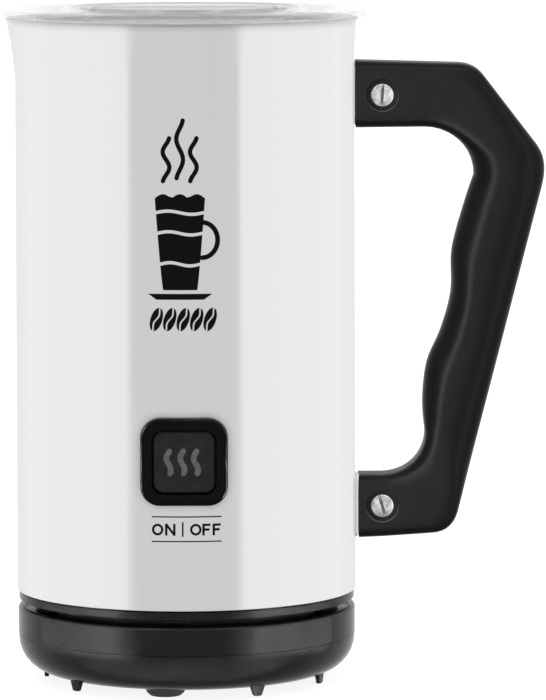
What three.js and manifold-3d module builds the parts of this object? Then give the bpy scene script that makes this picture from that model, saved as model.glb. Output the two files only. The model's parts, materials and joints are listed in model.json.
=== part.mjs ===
// Electric milk frother: a steel jug with a heater, a magnetic whisk drive and a plastic handle,
// standing on a separate power base.
//
// Units are millimetres and +Z is up. The handle points along +X and the switch faces -Y.
// Everything is built around the jug's axis and then shifted along X, so that the origin lies on
// the surface under the feet, at the middle of the whole object's bounding box.
// "Azimuth" is an angle round the jug's axis: 0 is the front (-Y), 90 is the handle side (+X).

import * as THREE from "three";
import { mergeVertices } from "three/addons/utils/BufferGeometryUtils.js";
import Module from "manifold-3d";

const wasm = await Module();
wasm.setup();

// ---------------------------------------------------------------- driving dimensions

const GAP = 0.3; // left between pieces that touch
const ROUND = 40; // sides of the large turned pieces
const MID_ROUND = 24; // sides of middling ones
const SMALL_ROUND = 12; // sides of screws and other small ones

// Heights above the surface under the feet
const BASE_BOTTOM = 2.4;
const BASE_SEAM = 13.2;
const BASE_TOP = 21;
const RING_BOTTOM = 23;
const SHELL_BOTTOM = 25.6;
const POT_FLOOR = 88;
const RIM = 185.7;
const LID_TOP = 188.06;

// Power base
const BASE_R = 47.3;
const BASE_FILLET = 10; // rounding under the bottom shell
const BASE_WALL = 2;
const FOOT_R = 5.75;
const FOOT_CIRCLE = 32;
const TAB_CIRCLE = 39.5;
const SUPPORT_STEP = 40; // degrees from one foot or tab to the next
const FIRST_SUPPORT = -10; // azimuth of the front foot
const BASE_SCREW_CIRCLE = 29;

// Jug
const SHELL_R = 47.55; // at the bottom edge
const SHELL_R_TOP = 47.25; // below the flared rim
const SHELL_WALL = 0.8;
const RIM_FLARE = 0.65;
const FLARE_HEIGHT = 11;
const SPOUT_REACH = 1.9; // how far the rim is pulled out
const SPOUT_DROP = 17; // height of the pulled zone
const SPOUT_HALF_ANGLE = 24; // degrees
const POT_R = 42.6; // inside the pot
const POST_R = 8.4; // post that the whisk turns on
const POST_HEIGHT = 13;
const RING_R = 46.4;
const COVER_BOTTOM = 25.4;
const BOARD_Z = 35.5;
const MOTOR_R = 13.5;
const MOTOR_BOTTOM = 42;
const MOTOR_TOP = 73.7;

// Power connector
const TURRET_R = 12;
const TURRET_TOP = 28.5;

// Cord gland, held in a notch under the base's seam at the rear
const GLAND_R = 4.2;
const GLAND_Z = 8.8;
const CORD_BORE_R = 3.2;

// Screws of the base and of the cover under the jug
const SCREW_HEAD_R = 2.9;
const SCREW_SHANK_R = 1.4;
const SCREW_HOLE_R = 1.8;
const COVER_SCREW_CIRCLE = 40.2;
const COVER_SCREW_AZIMUTHS = [60, 180, 300];

// Heater under the pot
const HEATER_Z = 83.5;
const HEATER_R = 38;
const HEATER_RING_R = 29; // of the bent element
const HEATER_TUBE_R = 3;

// Whisk
const WHISK_BOTTOM = POT_FLOOR + 1.2;
const WHISK_COIL_R = 24.4; // at the middle of the coiled wire's ring
const WHISK_COIL_TUBE = 3.2;
const WHISK_RIM_R = 20.8; // of the channel that holds the coil
const WHISK_LIP_R = 21.7; // of the channel's two lips

// Lid
const LID_R = 51.2;
const LID_THICKNESS = 2.06;
const SKIRT_R = 41.7;
const SKIRT_DEPTH = 9.3;

// Switch, centred on azimuth 0
const SWITCH_Z = 66.8;
const BEZEL_SIZE = 23.9;
const BEZEL_CORNER = 5.3;
const BEZEL_FRONT = 49.6; // distance of its front face from the axis
const BUTTON_SIZE = 17.1;
const BUTTON_CORNER = 2.4;
const BUTTON_FRONT = 48.9;
const SWITCH_BOARD_Y = 35.3; // distance of the board's back from the axis

// Handle
const HANDLE_THICKNESS = 15;
const HANDLE_EDGE = 3.2; // rounding of its long edges
const HANDLE_ROOT_X = 46; // its arms are drawn from here, inside the shell
const HANDLE_SCREW_X = 54.9;
const HANDLE_SCREW_Z = [164.1, 49.1];
const SCREW_SLOT_TILT = [4, -16]; // degrees from upright
const SADDLE_R = 48.4; // outside of the brackets' saddles
const SADDLE_Z = [[157, 171.5], [40.6, 57.2]];
const SADDLE_WIDTH = [12.4, 15.8]; // the upper one is hidden in the handle's end
const SADDLE_ROUND = 96; // sides of the curved faces where the handle meets the shell
const TONGUE_END = 62;
const TONGUE_HALF = [1.5, 5.5]; // half its thickness and half its height
const EYE_R = 2.9; // screw hole through a tongue and the handle
const RECESS_R = 4.7; // round the screw's head
const RECESS_DEPTH = 1.8;

// Crests and hollows of the handle's finger side, from the bottom up
const FINGER_WAVE = [
  [66.2, 78.2],
  [67.4, 89.1],
  [71.3, 98.4],
  [74.1, 109],
  [74.4, 121],
  [78, 134.4],
  [80.5, 141.8],
];

const COLOURS = {
  steel: [0xd4d6d8, 0.28, 1],
  innerSteel: [0xc9cbcd, 0.3, 1],
  chrome: [0xdddddd, 0.12, 1],
  black: [0x1c1c1d, 0.45, 0],
  glossBlack: [0x0c0c0d, 0.15, 0],
  handle: [0x232324, 0.5, 0],
  rubber: [0x2a2a2b, 0.85, 0],
  clear: [0xeef2f4, 0.08, 0],
  silicone: [0xe3e6e8, 0.7, 0],
  nylon: [0xd8d5cc, 0.6, 0],
  icon: [0x8c8e90, 0.4, 0],
  board: [0x2f6b3a, 0.55, 0],
  brass: [0xc9a548, 0.35, 1],
  magnet: [0x8d8f93, 0.35, 1],
  aluminium: [0xb9bcbf, 0.4, 1],
};

// ---------------------------------------------------------------- shape helpers

const radians = THREE.MathUtils.degToRad;

// Point on a circle round the axis, [x, y].
function around(radius, azimuth) {
  const a = radians(azimuth);
  return [radius * Math.sin(a), -radius * Math.cos(a)];
}

// Turns a closed three.js geometry into a manifold solid.
function solid(geometry) {
  const bare = geometry.index ? geometry.toNonIndexed() : geometry.clone();
  bare.deleteAttribute("normal");
  bare.deleteAttribute("uv");
  const merged = mergeVertices(bare, 1e-4);
  const vertProperties = merged.attributes.position.array;
  const triVerts = new Uint32Array(merged.index.array);
  return new wasm.Manifold(new wasm.Mesh({ numProp: 3, vertProperties, triVerts }));
}

// Turns a manifold solid back into a three.js geometry.
function geometryOf(made) {
  const mesh = made.getMesh();
  const geometry = new THREE.BufferGeometry();
  geometry.setAttribute("position", new THREE.BufferAttribute(mesh.vertProperties, 3));
  geometry.setIndex(new THREE.BufferAttribute(mesh.triVerts, 1));
  geometry.computeVertexNormals();
  return geometry;
}

const join = (...solids) => solids.reduce((all, next) => all.add(next));
const cut = (body, ...tools) => tools.reduce((left, tool) => left.subtract(tool), body);
const moved = (body, x, y, z = 0) => body.translate([x, y, z]);

// Geometry of a profile of [radius, height] points turned round +Z. The profile runs
// anticlockwise, and a profile off the axis closes on itself.
function turnedGeometry(profile, sides) {
  const points = profile.map(([r, z]) => new THREE.Vector2(r, z));
  const onAxis = points[0].x === 0 && points.at(-1).x === 0;
  if (!onAxis) points.push(points[0].clone());
  return new THREE.LatheGeometry(points, sides).rotateX(Math.PI / 2);
}

const turned = (profile, sides = ROUND) => solid(turnedGeometry(profile, sides));

// A tube or ring with square edges.
function ring(innerR, outerR, z0, z1, sides = ROUND) {
  return turned([[innerR, z0], [outerR, z0], [outerR, z1], [innerR, z1]], sides);
}

function rod(radius, z0, z1, sides = SMALL_ROUND) {
  const geometry = new THREE.CylinderGeometry(radius, radius, z1 - z0, sides);
  return solid(geometry.rotateX(Math.PI / 2).translate(0, 0, (z0 + z1) / 2));
}

// A rod along Y through the point (x, z).
function crossRod(radius, y0, y1, x, z, sides = SMALL_ROUND) {
  const geometry = new THREE.CylinderGeometry(radius, radius, y1 - y0, sides);
  return solid(geometry.translate(x, (y0 + y1) / 2, z));
}

function block([x0, x1], [y0, y1], [z0, z1]) {
  const geometry = new THREE.BoxGeometry(x1 - x0, y1 - y0, z1 - z0);
  return solid(geometry.translate((x0 + x1) / 2, (y0 + y1) / 2, (z0 + z1) / 2));
}

// Points of a circle's arc from angle a0 to a1, in degrees.
function arc(centreR, centreZ, radius, a0, a1, steps) {
  return Array.from({ length: steps + 1 }, (_, i) => {
    const a = radians(a0 + ((a1 - a0) * i) / steps);
    return [centreR + radius * Math.cos(a), centreZ + radius * Math.sin(a)];
  });
}

const CORNER_STEPS = 4; // facets of a rounded corner

// A square with rounded corners, as a shape centred on the origin.
function roundedSquare(size, corner) {
  const h = size / 2;
  const c = h - corner;
  const shape = new THREE.Shape();
  shape.absarc(c, c, corner, 0, Math.PI / 2);
  shape.absarc(-c, c, corner, Math.PI / 2, Math.PI);
  shape.absarc(-c, -c, corner, Math.PI, Math.PI * 1.5);
  shape.absarc(c, -c, corner, Math.PI * 1.5, Math.PI * 2);
  return shape;
}

// A rounded square prism that faces -Y, from the distance y0 to y1 in front of the axis.
function switchPrism(size, corner, y0, y1, bevel = 0) {
  const options = { depth: y1 - y0 - bevel, curveSegments: CORNER_STEPS, bevelEnabled: false };
  const geometry = new THREE.ExtrudeGeometry(roundedSquare(size, corner), options);
  const body = solid(geometry.rotateX(Math.PI / 2).translate(0, -y0, SWITCH_Z));
  if (!bevel) return body;
  const face = new THREE.ExtrudeGeometry(roundedSquare(size, corner), {
    depth: 0.01,
    curveSegments: CORNER_STEPS,
    bevelThickness: bevel,
    bevelSize: bevel,
    bevelOffset: -bevel,
    bevelSegments: 1,
  });
  return join(body, solid(face.rotateX(Math.PI / 2).translate(0, bevel - y1, SWITCH_Z)));
}

// Pulls the rim outwards on the -X side into a pouring spout.
function pullSpout(geometry) {
  const place = geometry.attributes.position;
  for (let i = 0; i < place.count; i++) {
    const [x, y, z] = [place.getX(i), place.getY(i), place.getZ(i)];
    const r = Math.hypot(x, y);
    const angle = Math.abs(Math.atan2(y, -x)) / radians(SPOUT_HALF_ANGLE);
    const height = (z - RIM + SPOUT_DROP) / SPOUT_DROP;
    if (angle >= 1 || height <= 0) continue;
    const grow = 1 + (SPOUT_REACH * height * Math.cos((angle * Math.PI) / 2) ** 2) / r;
    place.setXY(i, x * grow, y * grow);
  }
  return geometry;
}

const root = new THREE.Group();
const jugAxis = new THREE.Group(); // holds every piece, and carries the shift along X
root.add(jugAxis);

function add(name, body, colour) {
  const [color, roughness, metalness] = COLOURS[colour];
  const material = new THREE.MeshStandardMaterial({ color, roughness, metalness });
  const mesh = new THREE.Mesh(geometryOf(body), material);
  mesh.name = name;
  jugAxis.add(mesh);
}

// ---------------------------------------------------------------- power base

const SUPPORTS = Array.from({ length: 9 }, (_, i) => FIRST_SUPPORT + i * SUPPORT_STEP);
const FOOT_AZIMUTHS = SUPPORTS.filter((_, i) => i % 3 === 0);
const TAB_AZIMUTHS = SUPPORTS.filter((_, i) => i % 3 !== 0);
const BASE_SCREW_AZIMUTHS = FOOT_AZIMUTHS.map((a) => a + 60);
const FOOT_NAMES = ["foot_front", "foot_right", "foot_left"];
const SIDE_NAMES = ["front", "rear", "left"];

// A flat tapered tab under the bottom shell, with a rounded tip.
function supportTab(azimuth) {
  const tip = 0.1;
  const shape = new THREE.Shape();
  shape.moveTo(-2.2, 5);
  shape.lineTo(-2.2, 3);
  shape.lineTo(-1.2, tip + 0.5);
  shape.quadraticCurveTo(0, tip - 0.5, 1.2, tip + 0.5);
  shape.lineTo(2.2, 3);
  shape.lineTo(2.2, 5);
  const thickness = 1.3;
  const options = { depth: thickness, curveSegments: 4, bevelEnabled: false };
  const geometry = new THREE.ExtrudeGeometry(shape, options).rotateX(Math.PI / 2);
  geometry.translate(0, thickness / 2 - TAB_CIRCLE, 0).rotateZ(radians(azimuth));
  return solid(geometry);
}

function baseBottomShell() {
  const outer = BASE_R - 0.1;
  const turn = outer - BASE_FILLET;
  const edge = BASE_SEAM - GAP / 2;
  let shell = turned([
    [0, BASE_BOTTOM],
    ...arc(turn, BASE_BOTTOM + BASE_FILLET, BASE_FILLET, -90, 0, 5),
    [outer, edge],
    [outer - BASE_WALL, edge],
    ...arc(turn, BASE_BOTTOM + BASE_FILLET, BASE_FILLET - BASE_WALL, 0, -90, 2),
    [0, BASE_BOTTOM + BASE_WALL],
  ]);
  shell = join(shell, ...TAB_AZIMUTHS.map(supportTab));
  for (const azimuth of FOOT_AZIMUTHS) {
    const [x, y] = around(FOOT_CIRCLE, azimuth);
    shell = cut(shell, moved(rod(FOOT_R + GAP, 0, BASE_BOTTOM + 1, MID_ROUND), x, y));
  }
  for (const azimuth of BASE_SCREW_AZIMUTHS) {
    const [x, y] = around(BASE_SCREW_CIRCLE, azimuth);
    shell = join(shell, moved(rod(5.5, BASE_BOTTOM, 6.4), x, y));
    shell = cut(shell, moved(rod(SCREW_HEAD_R + 0.4, 0, 4.6), x, y), moved(rod(SCREW_HOLE_R, 4, 7), x, y));
  }
  return cut(shell, glandBody(GLAND_R + GAP, [38, 50], BASE_SEAM));
}

function baseTopShell() {
  const hole = TURRET_R + 0.5;
  const edge = BASE_SEAM + GAP / 2;
  let shell = turned([
    [hole, BASE_TOP - BASE_WALL],
    [BASE_R - BASE_WALL, BASE_TOP - BASE_WALL],
    [BASE_R - BASE_WALL, edge],
    [BASE_R, edge],
    ...arc(BASE_R - 0.8, BASE_TOP - 0.8, 0.8, 0, 90, 2),
    [hole, BASE_TOP],
  ]);
  for (const azimuth of BASE_SCREW_AZIMUTHS) {
    const [x, y] = around(BASE_SCREW_CIRCLE, azimuth);
    shell = join(shell, moved(rod(3.6, 6.7, BASE_TOP - 1), x, y));
    shell = cut(shell, moved(rod(1.7, 6, 15), x, y));
  }
  return shell;
}

// A pan-headed screw pointing up, with a slot across its head.
function screw(z0, headHeight, length) {
  const head = rod(SCREW_HEAD_R, z0, z0 + headHeight);
  const body = join(head, rod(SCREW_SHANK_R, z0 + headHeight - 0.5, z0 + length));
  return cut(body, block([-SCREW_HEAD_R, SCREW_HEAD_R], [-0.4, 0.4], [z0 - 1, z0 + 0.7]));
}

// Outer shape of the cord gland, round below and straight up to the seam.
function glandBody(radius, span, top) {
  const round = crossRod(radius, ...span, 0, GLAND_Z, MID_ROUND);
  return join(round, block([-radius, radius], span, [GLAND_Z, top]));
}

// The insulating turret in the middle of the base, with two ring grooves and an earth bore.
function baseConnector() {
  const body = turned([
    [0, 16.2],
    [15, 16.2],
    [15, BASE_TOP - BASE_WALL - GAP],
    [TURRET_R, BASE_TOP - BASE_WALL - GAP],
    [TURRET_R, TURRET_TOP],
    [0, TURRET_TOP],
  ], MID_ROUND);
  const top = TURRET_TOP + 1;
  return cut(body, ring(8, 10.6, 20, top, MID_ROUND), ring(3.9, 6.5, 20, top, MID_ROUND), rod(2.4, 18, top));
}

function buildPowerBase() {
  add("base_bottom_shell", baseBottomShell(), "black");
  add("base_top_shell", baseTopShell(), "black");
  FOOT_AZIMUTHS.forEach((azimuth, i) => {
    const [x, y] = around(FOOT_CIRCLE, azimuth);
    const foot = turned([
      [0, 0],
      [3.6, 0],
      [5, 0.7],
      [FOOT_R, 2],
      [FOOT_R, BASE_BOTTOM + 1 - GAP],
      [0, BASE_BOTTOM + 1 - GAP],
    ], MID_ROUND);
    add(FOOT_NAMES[i], moved(foot, x, y), "rubber");
  });
  BASE_SCREW_AZIMUTHS.forEach((azimuth, i) => {
    const [x, y] = around(BASE_SCREW_CIRCLE, azimuth);
    add("base_screw_" + SIDE_NAMES[i], moved(screw(2.9, 1.4, 11), x, y), "chrome");
  });
  const bore = crossRod(CORD_BORE_R, 38, 50, 0, GLAND_Z, MID_ROUND);
  add("cord_gland", cut(glandBody(GLAND_R, [41, 47.2], BASE_SEAM - GAP), bore), "rubber");
  add("base_terminal_block", block([-23, -9], [17, 25], [4.8, 13.5]), "nylon");
  add("base_connector", baseConnector(), "nylon");
  add("base_contact_live", ring(9.9, 10.3, 20.3, 25, MID_ROUND), "brass");
  add("base_contact_neutral", ring(5.8, 6.2, 20.3, 25, MID_ROUND), "brass");
}

// ---------------------------------------------------------------- jug: connector

function buildJugPlug() {
  const cavity = TURRET_R + 0.6;
  const ceiling = TURRET_TOP + 0.6;
  const housing = turned([
    [cavity, 23.6],
    [15.5, 23.6],
    [15.5, 27.5],
    [18, 27.5],
    [18, 29.6],
    [15.5, 29.6],
    [15.5, 33],
    [0, 33],
    [0, ceiling],
    [cavity, ceiling],
  ], MID_ROUND);
  add("plug_housing", housing, "black");
  add("plug_contact_live", ring(8.6, 9.4, 22, ceiling - GAP, MID_ROUND), "brass");
  add("plug_contact_neutral", ring(4.5, 5.3, 22, ceiling - GAP, MID_ROUND), "brass");
  add("plug_earth_pin", rod(1.8, 20.5, ceiling - GAP), "brass");
}

// ---------------------------------------------------------------- jug: shell and pot

function steelShell() {
  const bend = RIM - FLARE_HEIGHT;
  const top = SHELL_R_TOP + RIM_FLARE;
  const tube = turnedGeometry([
    [SHELL_R, SHELL_BOTTOM],
    [SHELL_R_TOP + 0.02, RIM - SPOUT_DROP],
    [SHELL_R_TOP, bend],
    [top, RIM],
    [top - SHELL_WALL, RIM],
    [SHELL_R_TOP - SHELL_WALL, bend],
    [SHELL_R_TOP + 0.02 - SHELL_WALL, RIM - SPOUT_DROP],
    [SHELL_R - SHELL_WALL, SHELL_BOTTOM],
  ], ROUND);
  const half = BEZEL_SIZE / 2 - 1.6;
  const opening = block([-half, half], [-60, -40], [SWITCH_Z - half, SWITCH_Z + half]);
  return cut(solid(pullSpout(tube)), opening);
}

// The pot and its rim flange in one sheet, with a hollow post in the middle of the floor.
function innerPot() {
  const wall = SHELL_WALL;
  const corner = 6;
  const postTop = POT_FLOOR + POST_HEIGHT;
  const flange = SHELL_R_TOP + RIM_FLARE - SHELL_WALL - GAP;
  const sheet = turnedGeometry([
    [0, postTop - wall],
    [POST_R - wall - 0.6, postTop - wall],
    [POST_R - wall, postTop - wall - 0.6],
    [POST_R - wall, POT_FLOOR - wall],
    ...arc(POT_R - corner, POT_FLOOR + corner, corner + wall, -90, 0, 3),
    [POT_R + wall, RIM - SPOUT_DROP],
    [POT_R + wall, RIM - wall],
    [flange, RIM - wall],
    [flange, RIM],
    [POT_R, RIM],
    [POT_R, RIM - SPOUT_DROP],
    ...arc(POT_R - corner, POT_FLOOR + corner, corner, 0, -90, 3),
    [POST_R + 1, POT_FLOOR],
    [POST_R, POT_FLOOR + 1],
    [POST_R, postTop - 1],
    [POST_R - 1, postTop],
    [0, postTop],
  ], ROUND);
  return solid(pullSpout(sheet));
}

// ---------------------------------------------------------------- jug: underside and drive

function bottomRing() {
  let body = ring(RING_R - 2.1, RING_R, RING_BOTTOM, 33);
  for (const azimuth of COVER_SCREW_AZIMUTHS) {
    const [x, y] = around(COVER_SCREW_CIRCLE, azimuth);
    body = join(body, moved(rod(4.4, 27.5, BOARD_Z - GAP), x, y));
    body = cut(body, moved(rod(SCREW_HOLE_R, 27, 34), x, y));
  }
  const tab = block([-3.5, 3.5], [-RING_R + 0.2, -RING_R + 1.7], [RING_BOTTOM - 0.8, RING_BOTTOM + 1]);
  return join(body, tab.rotate([0, 0, -3]));
}

function bottomCover() {
  const inner = 15.9;
  const plate = ring(inner, RING_R - 2.1 - GAP, COVER_BOTTOM, COVER_BOTTOM + 1.8);
  const holes = COVER_SCREW_AZIMUTHS.map((azimuth) => {
    const [x, y] = around(COVER_SCREW_CIRCLE, azimuth);
    return moved(rod(SCREW_HOLE_R, COVER_BOTTOM - 1, COVER_BOTTOM + 3), x, y);
  });
  return cut(plate, ...holes);
}

// A cylinder motor with a neck, and a blind bore for its shaft.
function motorBody() {
  const neck = MOTOR_TOP + 2.3;
  const body = turned([
    [0, MOTOR_BOTTOM],
    [MOTOR_R - 1, MOTOR_BOTTOM],
    [MOTOR_R, MOTOR_BOTTOM + 1],
    [MOTOR_R, MOTOR_TOP - 1],
    [MOTOR_R - 1, MOTOR_TOP],
    [3.5, MOTOR_TOP],
    [3.5, neck],
    [0, neck],
  ], MID_ROUND);
  return cut(body, rod(1.45, MOTOR_TOP - 8, neck + 1));
}

// A round plate on the motor's top, with three arms whose posts reach the heater plate.
function motorBracket() {
  const z0 = MOTOR_TOP + GAP;
  const z1 = z0 + 1.5;
  let body = rod(16, z0, z1, MID_ROUND);
  for (const azimuth of [30, 150, 270]) {
    const arm = block([-4, 4], [-39, -10], [z0, z1]);
    const post = moved(rod(2.6, z0, HEATER_Z - GAP), 0, -36);
    body = join(body, join(arm, post).rotate([0, 0, azimuth]));
  }
  return cut(body, rod(3.9, z0 - 1, z1 + 1));
}

// A tubular element bent into an open ring.
function heaterElement() {
  const section = new THREE.Shape().absarc(0, 0, HEATER_TUBE_R, 0, Math.PI * 2);
  const bend = new THREE.ArcCurve(0, 0, HEATER_RING_R, radians(-60), radians(240), false);
  const z = HEATER_Z - GAP - HEATER_TUBE_R;
  const path = new THREE.CatmullRomCurve3(
    bend.getSpacedPoints(16).map((p) => new THREE.Vector3(p.x, p.y, z)),
  );
  const options = { extrudePath: path, steps: 32, curveSegments: 4, bevelEnabled: false };
  return solid(new THREE.ExtrudeGeometry(section, options));
}

function buildDrive() {
  const sensor = around(17, 270);
  const cutout = around(16.5, 0);
  const plate = ring(POST_R + 1.8, HEATER_R, HEATER_Z, POT_FLOOR - SHELL_WALL - GAP, 48);
  add("heater_plate", cut(plate, moved(rod(2.8, 80, 90), ...sensor)), "aluminium");
  add("heater_element", heaterElement(), "steel");
  add("temperature_sensor", moved(rod(2.5, 79, 86.7), ...sensor), "brass");
  add("thermal_cutout", moved(rod(6.6, 76.5, HEATER_Z - GAP, 24), ...cutout), "nylon");
  add("motor_body", motorBody(), "aluminium");
  add("motor_bracket", motorBracket(), "steel");
  add("control_board", rod(41.5, BOARD_Z, BOARD_Z + 1.6, 48), "board");
  const onBoard = BOARD_Z + 1.6 + GAP;
  add("board_relay", block([16, 31], [-8, 11], [onBoard, onBoard + 15]), "black");
  add("board_capacitor", moved(rod(6.5, onBoard, onBoard + 20), -24, 10), "black");
  add("board_transformer", block([-10, 10], [18, 36], [onBoard, onBoard + 18]), "nylon");
}

// ---------------------------------------------------------------- whisk and its rotor

// Two small bar magnets on opposite sides of the axis.
function barPair(radius, thickness, width, z0, z1, spare = 0) {
  const half = thickness / 2 + spare;
  const across = width / 2 + spare;
  const bar = block([radius - half, radius + half], [-across, across], [z0 - spare, z1]);
  return [bar, bar.rotate([0, 0, 180])];
}

function buildRotor() {
  const top = POT_FLOOR + POST_HEIGHT - SHELL_WALL - 1.4;
  const bars = barPair(4.3, 2, 5, 88.8, top - GAP);
  const pockets = barPair(4.3, 2, 5, 88.8, top + 1, GAP);
  const carrier = cut(rod(POST_R - 1.8, 84.2, top, 24), rod(1.45, 80, 96.5), ...pockets);
  add("motor_shaft", rod(1.15, MOTOR_TOP - 7.5, 96), "chrome");
  add("magnet_carrier", carrier, "nylon");
  add("drive_magnet_a", bars[0], "magnet");
  add("drive_magnet_b", bars[1], "magnet");
}

function buildWhisk() {
  const bushTop = POT_FLOOR + POST_HEIGHT + 1.6;
  const bush = turned([
    [POST_R + GAP, WHISK_BOTTOM],
    [POST_R + 1.5, WHISK_BOTTOM],
    [POST_R + 1.5, bushTop - 0.6],
    [POST_R + 0.9, bushTop],
    [0, bushTop],
    [0, bushTop - 1.2],
    [POST_R + GAP, bushTop - 1.2],
  ], MID_ROUND);
  add("whisk_bush", bush, "nylon");

  const hubTop = bushTop - 1;
  const holes = [30, 90, 150, 210, 270, 330].map((azimuth) => {
    const [x, y] = around(16.5, azimuth);
    return moved(rod(1.3, POT_FLOOR, POT_FLOOR + 4), x, y);
  });
  const bars = barPair(12.2, 1.6, 6, 92.2, hubTop - 1.5);
  const pockets = barPair(12.2, 1.6, 6, 92.2, hubTop + 1, GAP);
  add("whisk_hub", cut(whiskHub(hubTop), ...holes, ...pockets), "black");
  add("whisk_magnet_a", bars[0], "magnet");
  add("whisk_magnet_b", bars[1], "magnet");

  const coil = arc(WHISK_COIL_R, WHISK_BOTTOM + WHISK_COIL_TUBE, WHISK_COIL_TUBE, -90, 225, 7);
  add("whisk_coil", turned(coil, 36), "steel");
}

// A sleeve round the bush, a thin web, and a rim with a channel whose lips hold the coil.
function whiskHub(top) {
  const bore = POST_R + 1.8;
  const web = WHISK_BOTTOM + 1.4;
  const rimInside = 18.6;
  const rimTop = WHISK_BOTTOM + 2 * WHISK_COIL_TUBE;
  const lip = 1;
  return turned([
    [bore, WHISK_BOTTOM],
    [WHISK_LIP_R, WHISK_BOTTOM],
    [WHISK_LIP_R, WHISK_BOTTOM + lip],
    [WHISK_RIM_R, WHISK_BOTTOM + lip],
    [WHISK_RIM_R, rimTop - lip],
    [WHISK_LIP_R, rimTop - lip],
    [WHISK_LIP_R, rimTop],
    [rimInside, rimTop],
    [rimInside, web],
    [15, web],
    [14.4, web + 0.6],
    [14.4, top - 0.8],
    [13.6, top],
    [bore, top],
  ], 36);
}

// ---------------------------------------------------------------- switch

function buildSwitch() {
  const pocket = BUTTON_SIZE + 2 * GAP;
  const collar = BEZEL_SIZE - 3.2 - 2 * GAP;
  const plate = switchPrism(BEZEL_SIZE, BEZEL_CORNER, 40, BEZEL_FRONT, 1);
  const frame = cut(plate, rod(SHELL_R + GAP, 40, 95, ROUND));
  const sleeve = switchPrism(collar, 2.8, 39, BEZEL_FRONT - 1.2);
  const hole = switchPrism(pocket, BUTTON_CORNER + GAP, 30, 60);
  add("switch_bezel", cut(join(frame, sleeve), hole), "glossBlack");

  const boardFront = SWITCH_BOARD_Y + 1.6;
  const board = block([-12, 12], [-boardFront, -SWITCH_BOARD_Y], [SWITCH_Z - 14, SWITCH_Z + 14]);
  add("switch_board", board, "board");
  const body = boardFront + GAP;
  const touch = join(
    block([-3, 3], [-body - 3.5, -body], [SWITCH_Z - 3, SWITCH_Z + 3]),
    crossRod(1.7, -body - 4.6, -body - 3, 0, SWITCH_Z),
  );
  add("tact_switch", touch, "black");
  for (const [name, x] of [["led_left", -6], ["led_right", 6]]) {
    add(name, crossRod(1.5, -body - 3, -body, x, SWITCH_Z, 16), "silicone");
  }
  const back = body + 4.6 + 1.5; // clear of the switch at the end of the button's travel
  const button = switchPrism(BUTTON_SIZE, BUTTON_CORNER, back, BUTTON_FRONT, 0.8);
  const window = block([-6, 6], [-60, -BUTTON_FRONT + 1], [SWITCH_Z - 4.4, SWITCH_Z + 4.4]);
  add("switch_button", cut(button, window), "rubber");
  const guide = block(
    [-6 + GAP, 6 - GAP],
    [-BUTTON_FRONT + 0.1, -BUTTON_FRONT + 1 - GAP],
    [SWITCH_Z - 4.4 + GAP, SWITCH_Z + 4.4 - GAP],
  );
  add("icon_window", guide, "icon");
}

// ---------------------------------------------------------------- handle

// Side outline of the handle, drawn with x outwards and y up.
function handleOutline() {
  const shape = new THREE.Shape();
  shape.moveTo(HANDLE_ROOT_X, 173.8);
  shape.lineTo(76.2, 172.9);
  shape.quadraticCurveTo(80.7, 172.7, 83.1, 169.6);
  shape.lineTo(98.2, 150);
  shape.quadraticCurveTo(101.5, 145.6, 99.6, 138.3);
  shape.lineTo(76.3, 47.5);
  shape.quadraticCurveTo(74.8, 41.6, 69.5, 41.1);
  shape.lineTo(HANDLE_ROOT_X, 39.7);
  shape.lineTo(HANDLE_ROOT_X, 57.8);
  shape.lineTo(55.1, 57.8);
  shape.bezierCurveTo(61.5, 58, 66.8, 62.5, 66.9, 69.5);
  shape.splineThru(FINGER_WAVE.map(([x, z]) => new THREE.Vector2(x, z)));
  shape.bezierCurveTo(80.5, 149.5, 74, 155.1, 66.6, 155.1);
  shape.lineTo(HANDLE_ROOT_X, 154.9);
  return shape;
}

function handleBody() {
  const geometry = new THREE.ExtrudeGeometry(handleOutline(), {
    depth: HANDLE_THICKNESS - 2 * HANDLE_EDGE,
    curveSegments: 4,
    bevelThickness: HANDLE_EDGE,
    bevelSize: HANDLE_EDGE,
    bevelOffset: -HANDLE_EDGE,
    bevelSegments: 2,
  });
  geometry.rotateX(Math.PI / 2).translate(0, HANDLE_THICKNESS / 2 - HANDLE_EDGE, 0);
  const upperEnd = rod(SHELL_R + GAP, 100, 200, SADDLE_ROUND);
  const lowerEnd = rod(SADDLE_R + GAP, 0, 100, SADDLE_ROUND);
  let body = cut(solid(geometry), upperEnd, lowerEnd, saddle(0, GAP));
  const face = HANDLE_THICKNESS / 2;
  for (const z of HANDLE_SCREW_Z) {
    body = cut(body, tongue(z, GAP), crossRod(EYE_R, -face, face, HANDLE_SCREW_X, z));
    for (const side of [-face, face]) {
      const span = [side - RECESS_DEPTH, side + RECESS_DEPTH];
      body = cut(body, crossRod(RECESS_R, ...span, HANDLE_SCREW_X, z, 20));
    }
  }
  return body;
}

// A curved plate that lies on the shell, or the pocket for it with some spare room.
function saddle(index, spare = 0) {
  const [z0, z1] = SADDLE_Z[index];
  const half = SADDLE_WIDTH[index] / 2 + spare;
  const bent = ring(SHELL_R + GAP - spare, SADDLE_R + spare, z0 - spare, z1 + spare, SADDLE_ROUND);
  return bent.intersect(block([40, 60], [-half, half], [z0 - spare, z1 + spare]));
}

// A tongue that reaches into the handle from a saddle, or the slot for it.
function tongue(z, spare = 0) {
  const [thick, high] = TONGUE_HALF.map((half) => half + spare);
  const reach = [spare ? 40 : SHELL_R + 0.5, TONGUE_END + spare];
  return block(reach, [-thick, thick], [z - high, z + high]);
}

function handleBracket(index) {
  const z = HANDLE_SCREW_Z[index];
  return cut(join(saddle(index), tongue(z)), crossRod(EYE_R, -5, 5, HANDLE_SCREW_X, z));
}

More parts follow.
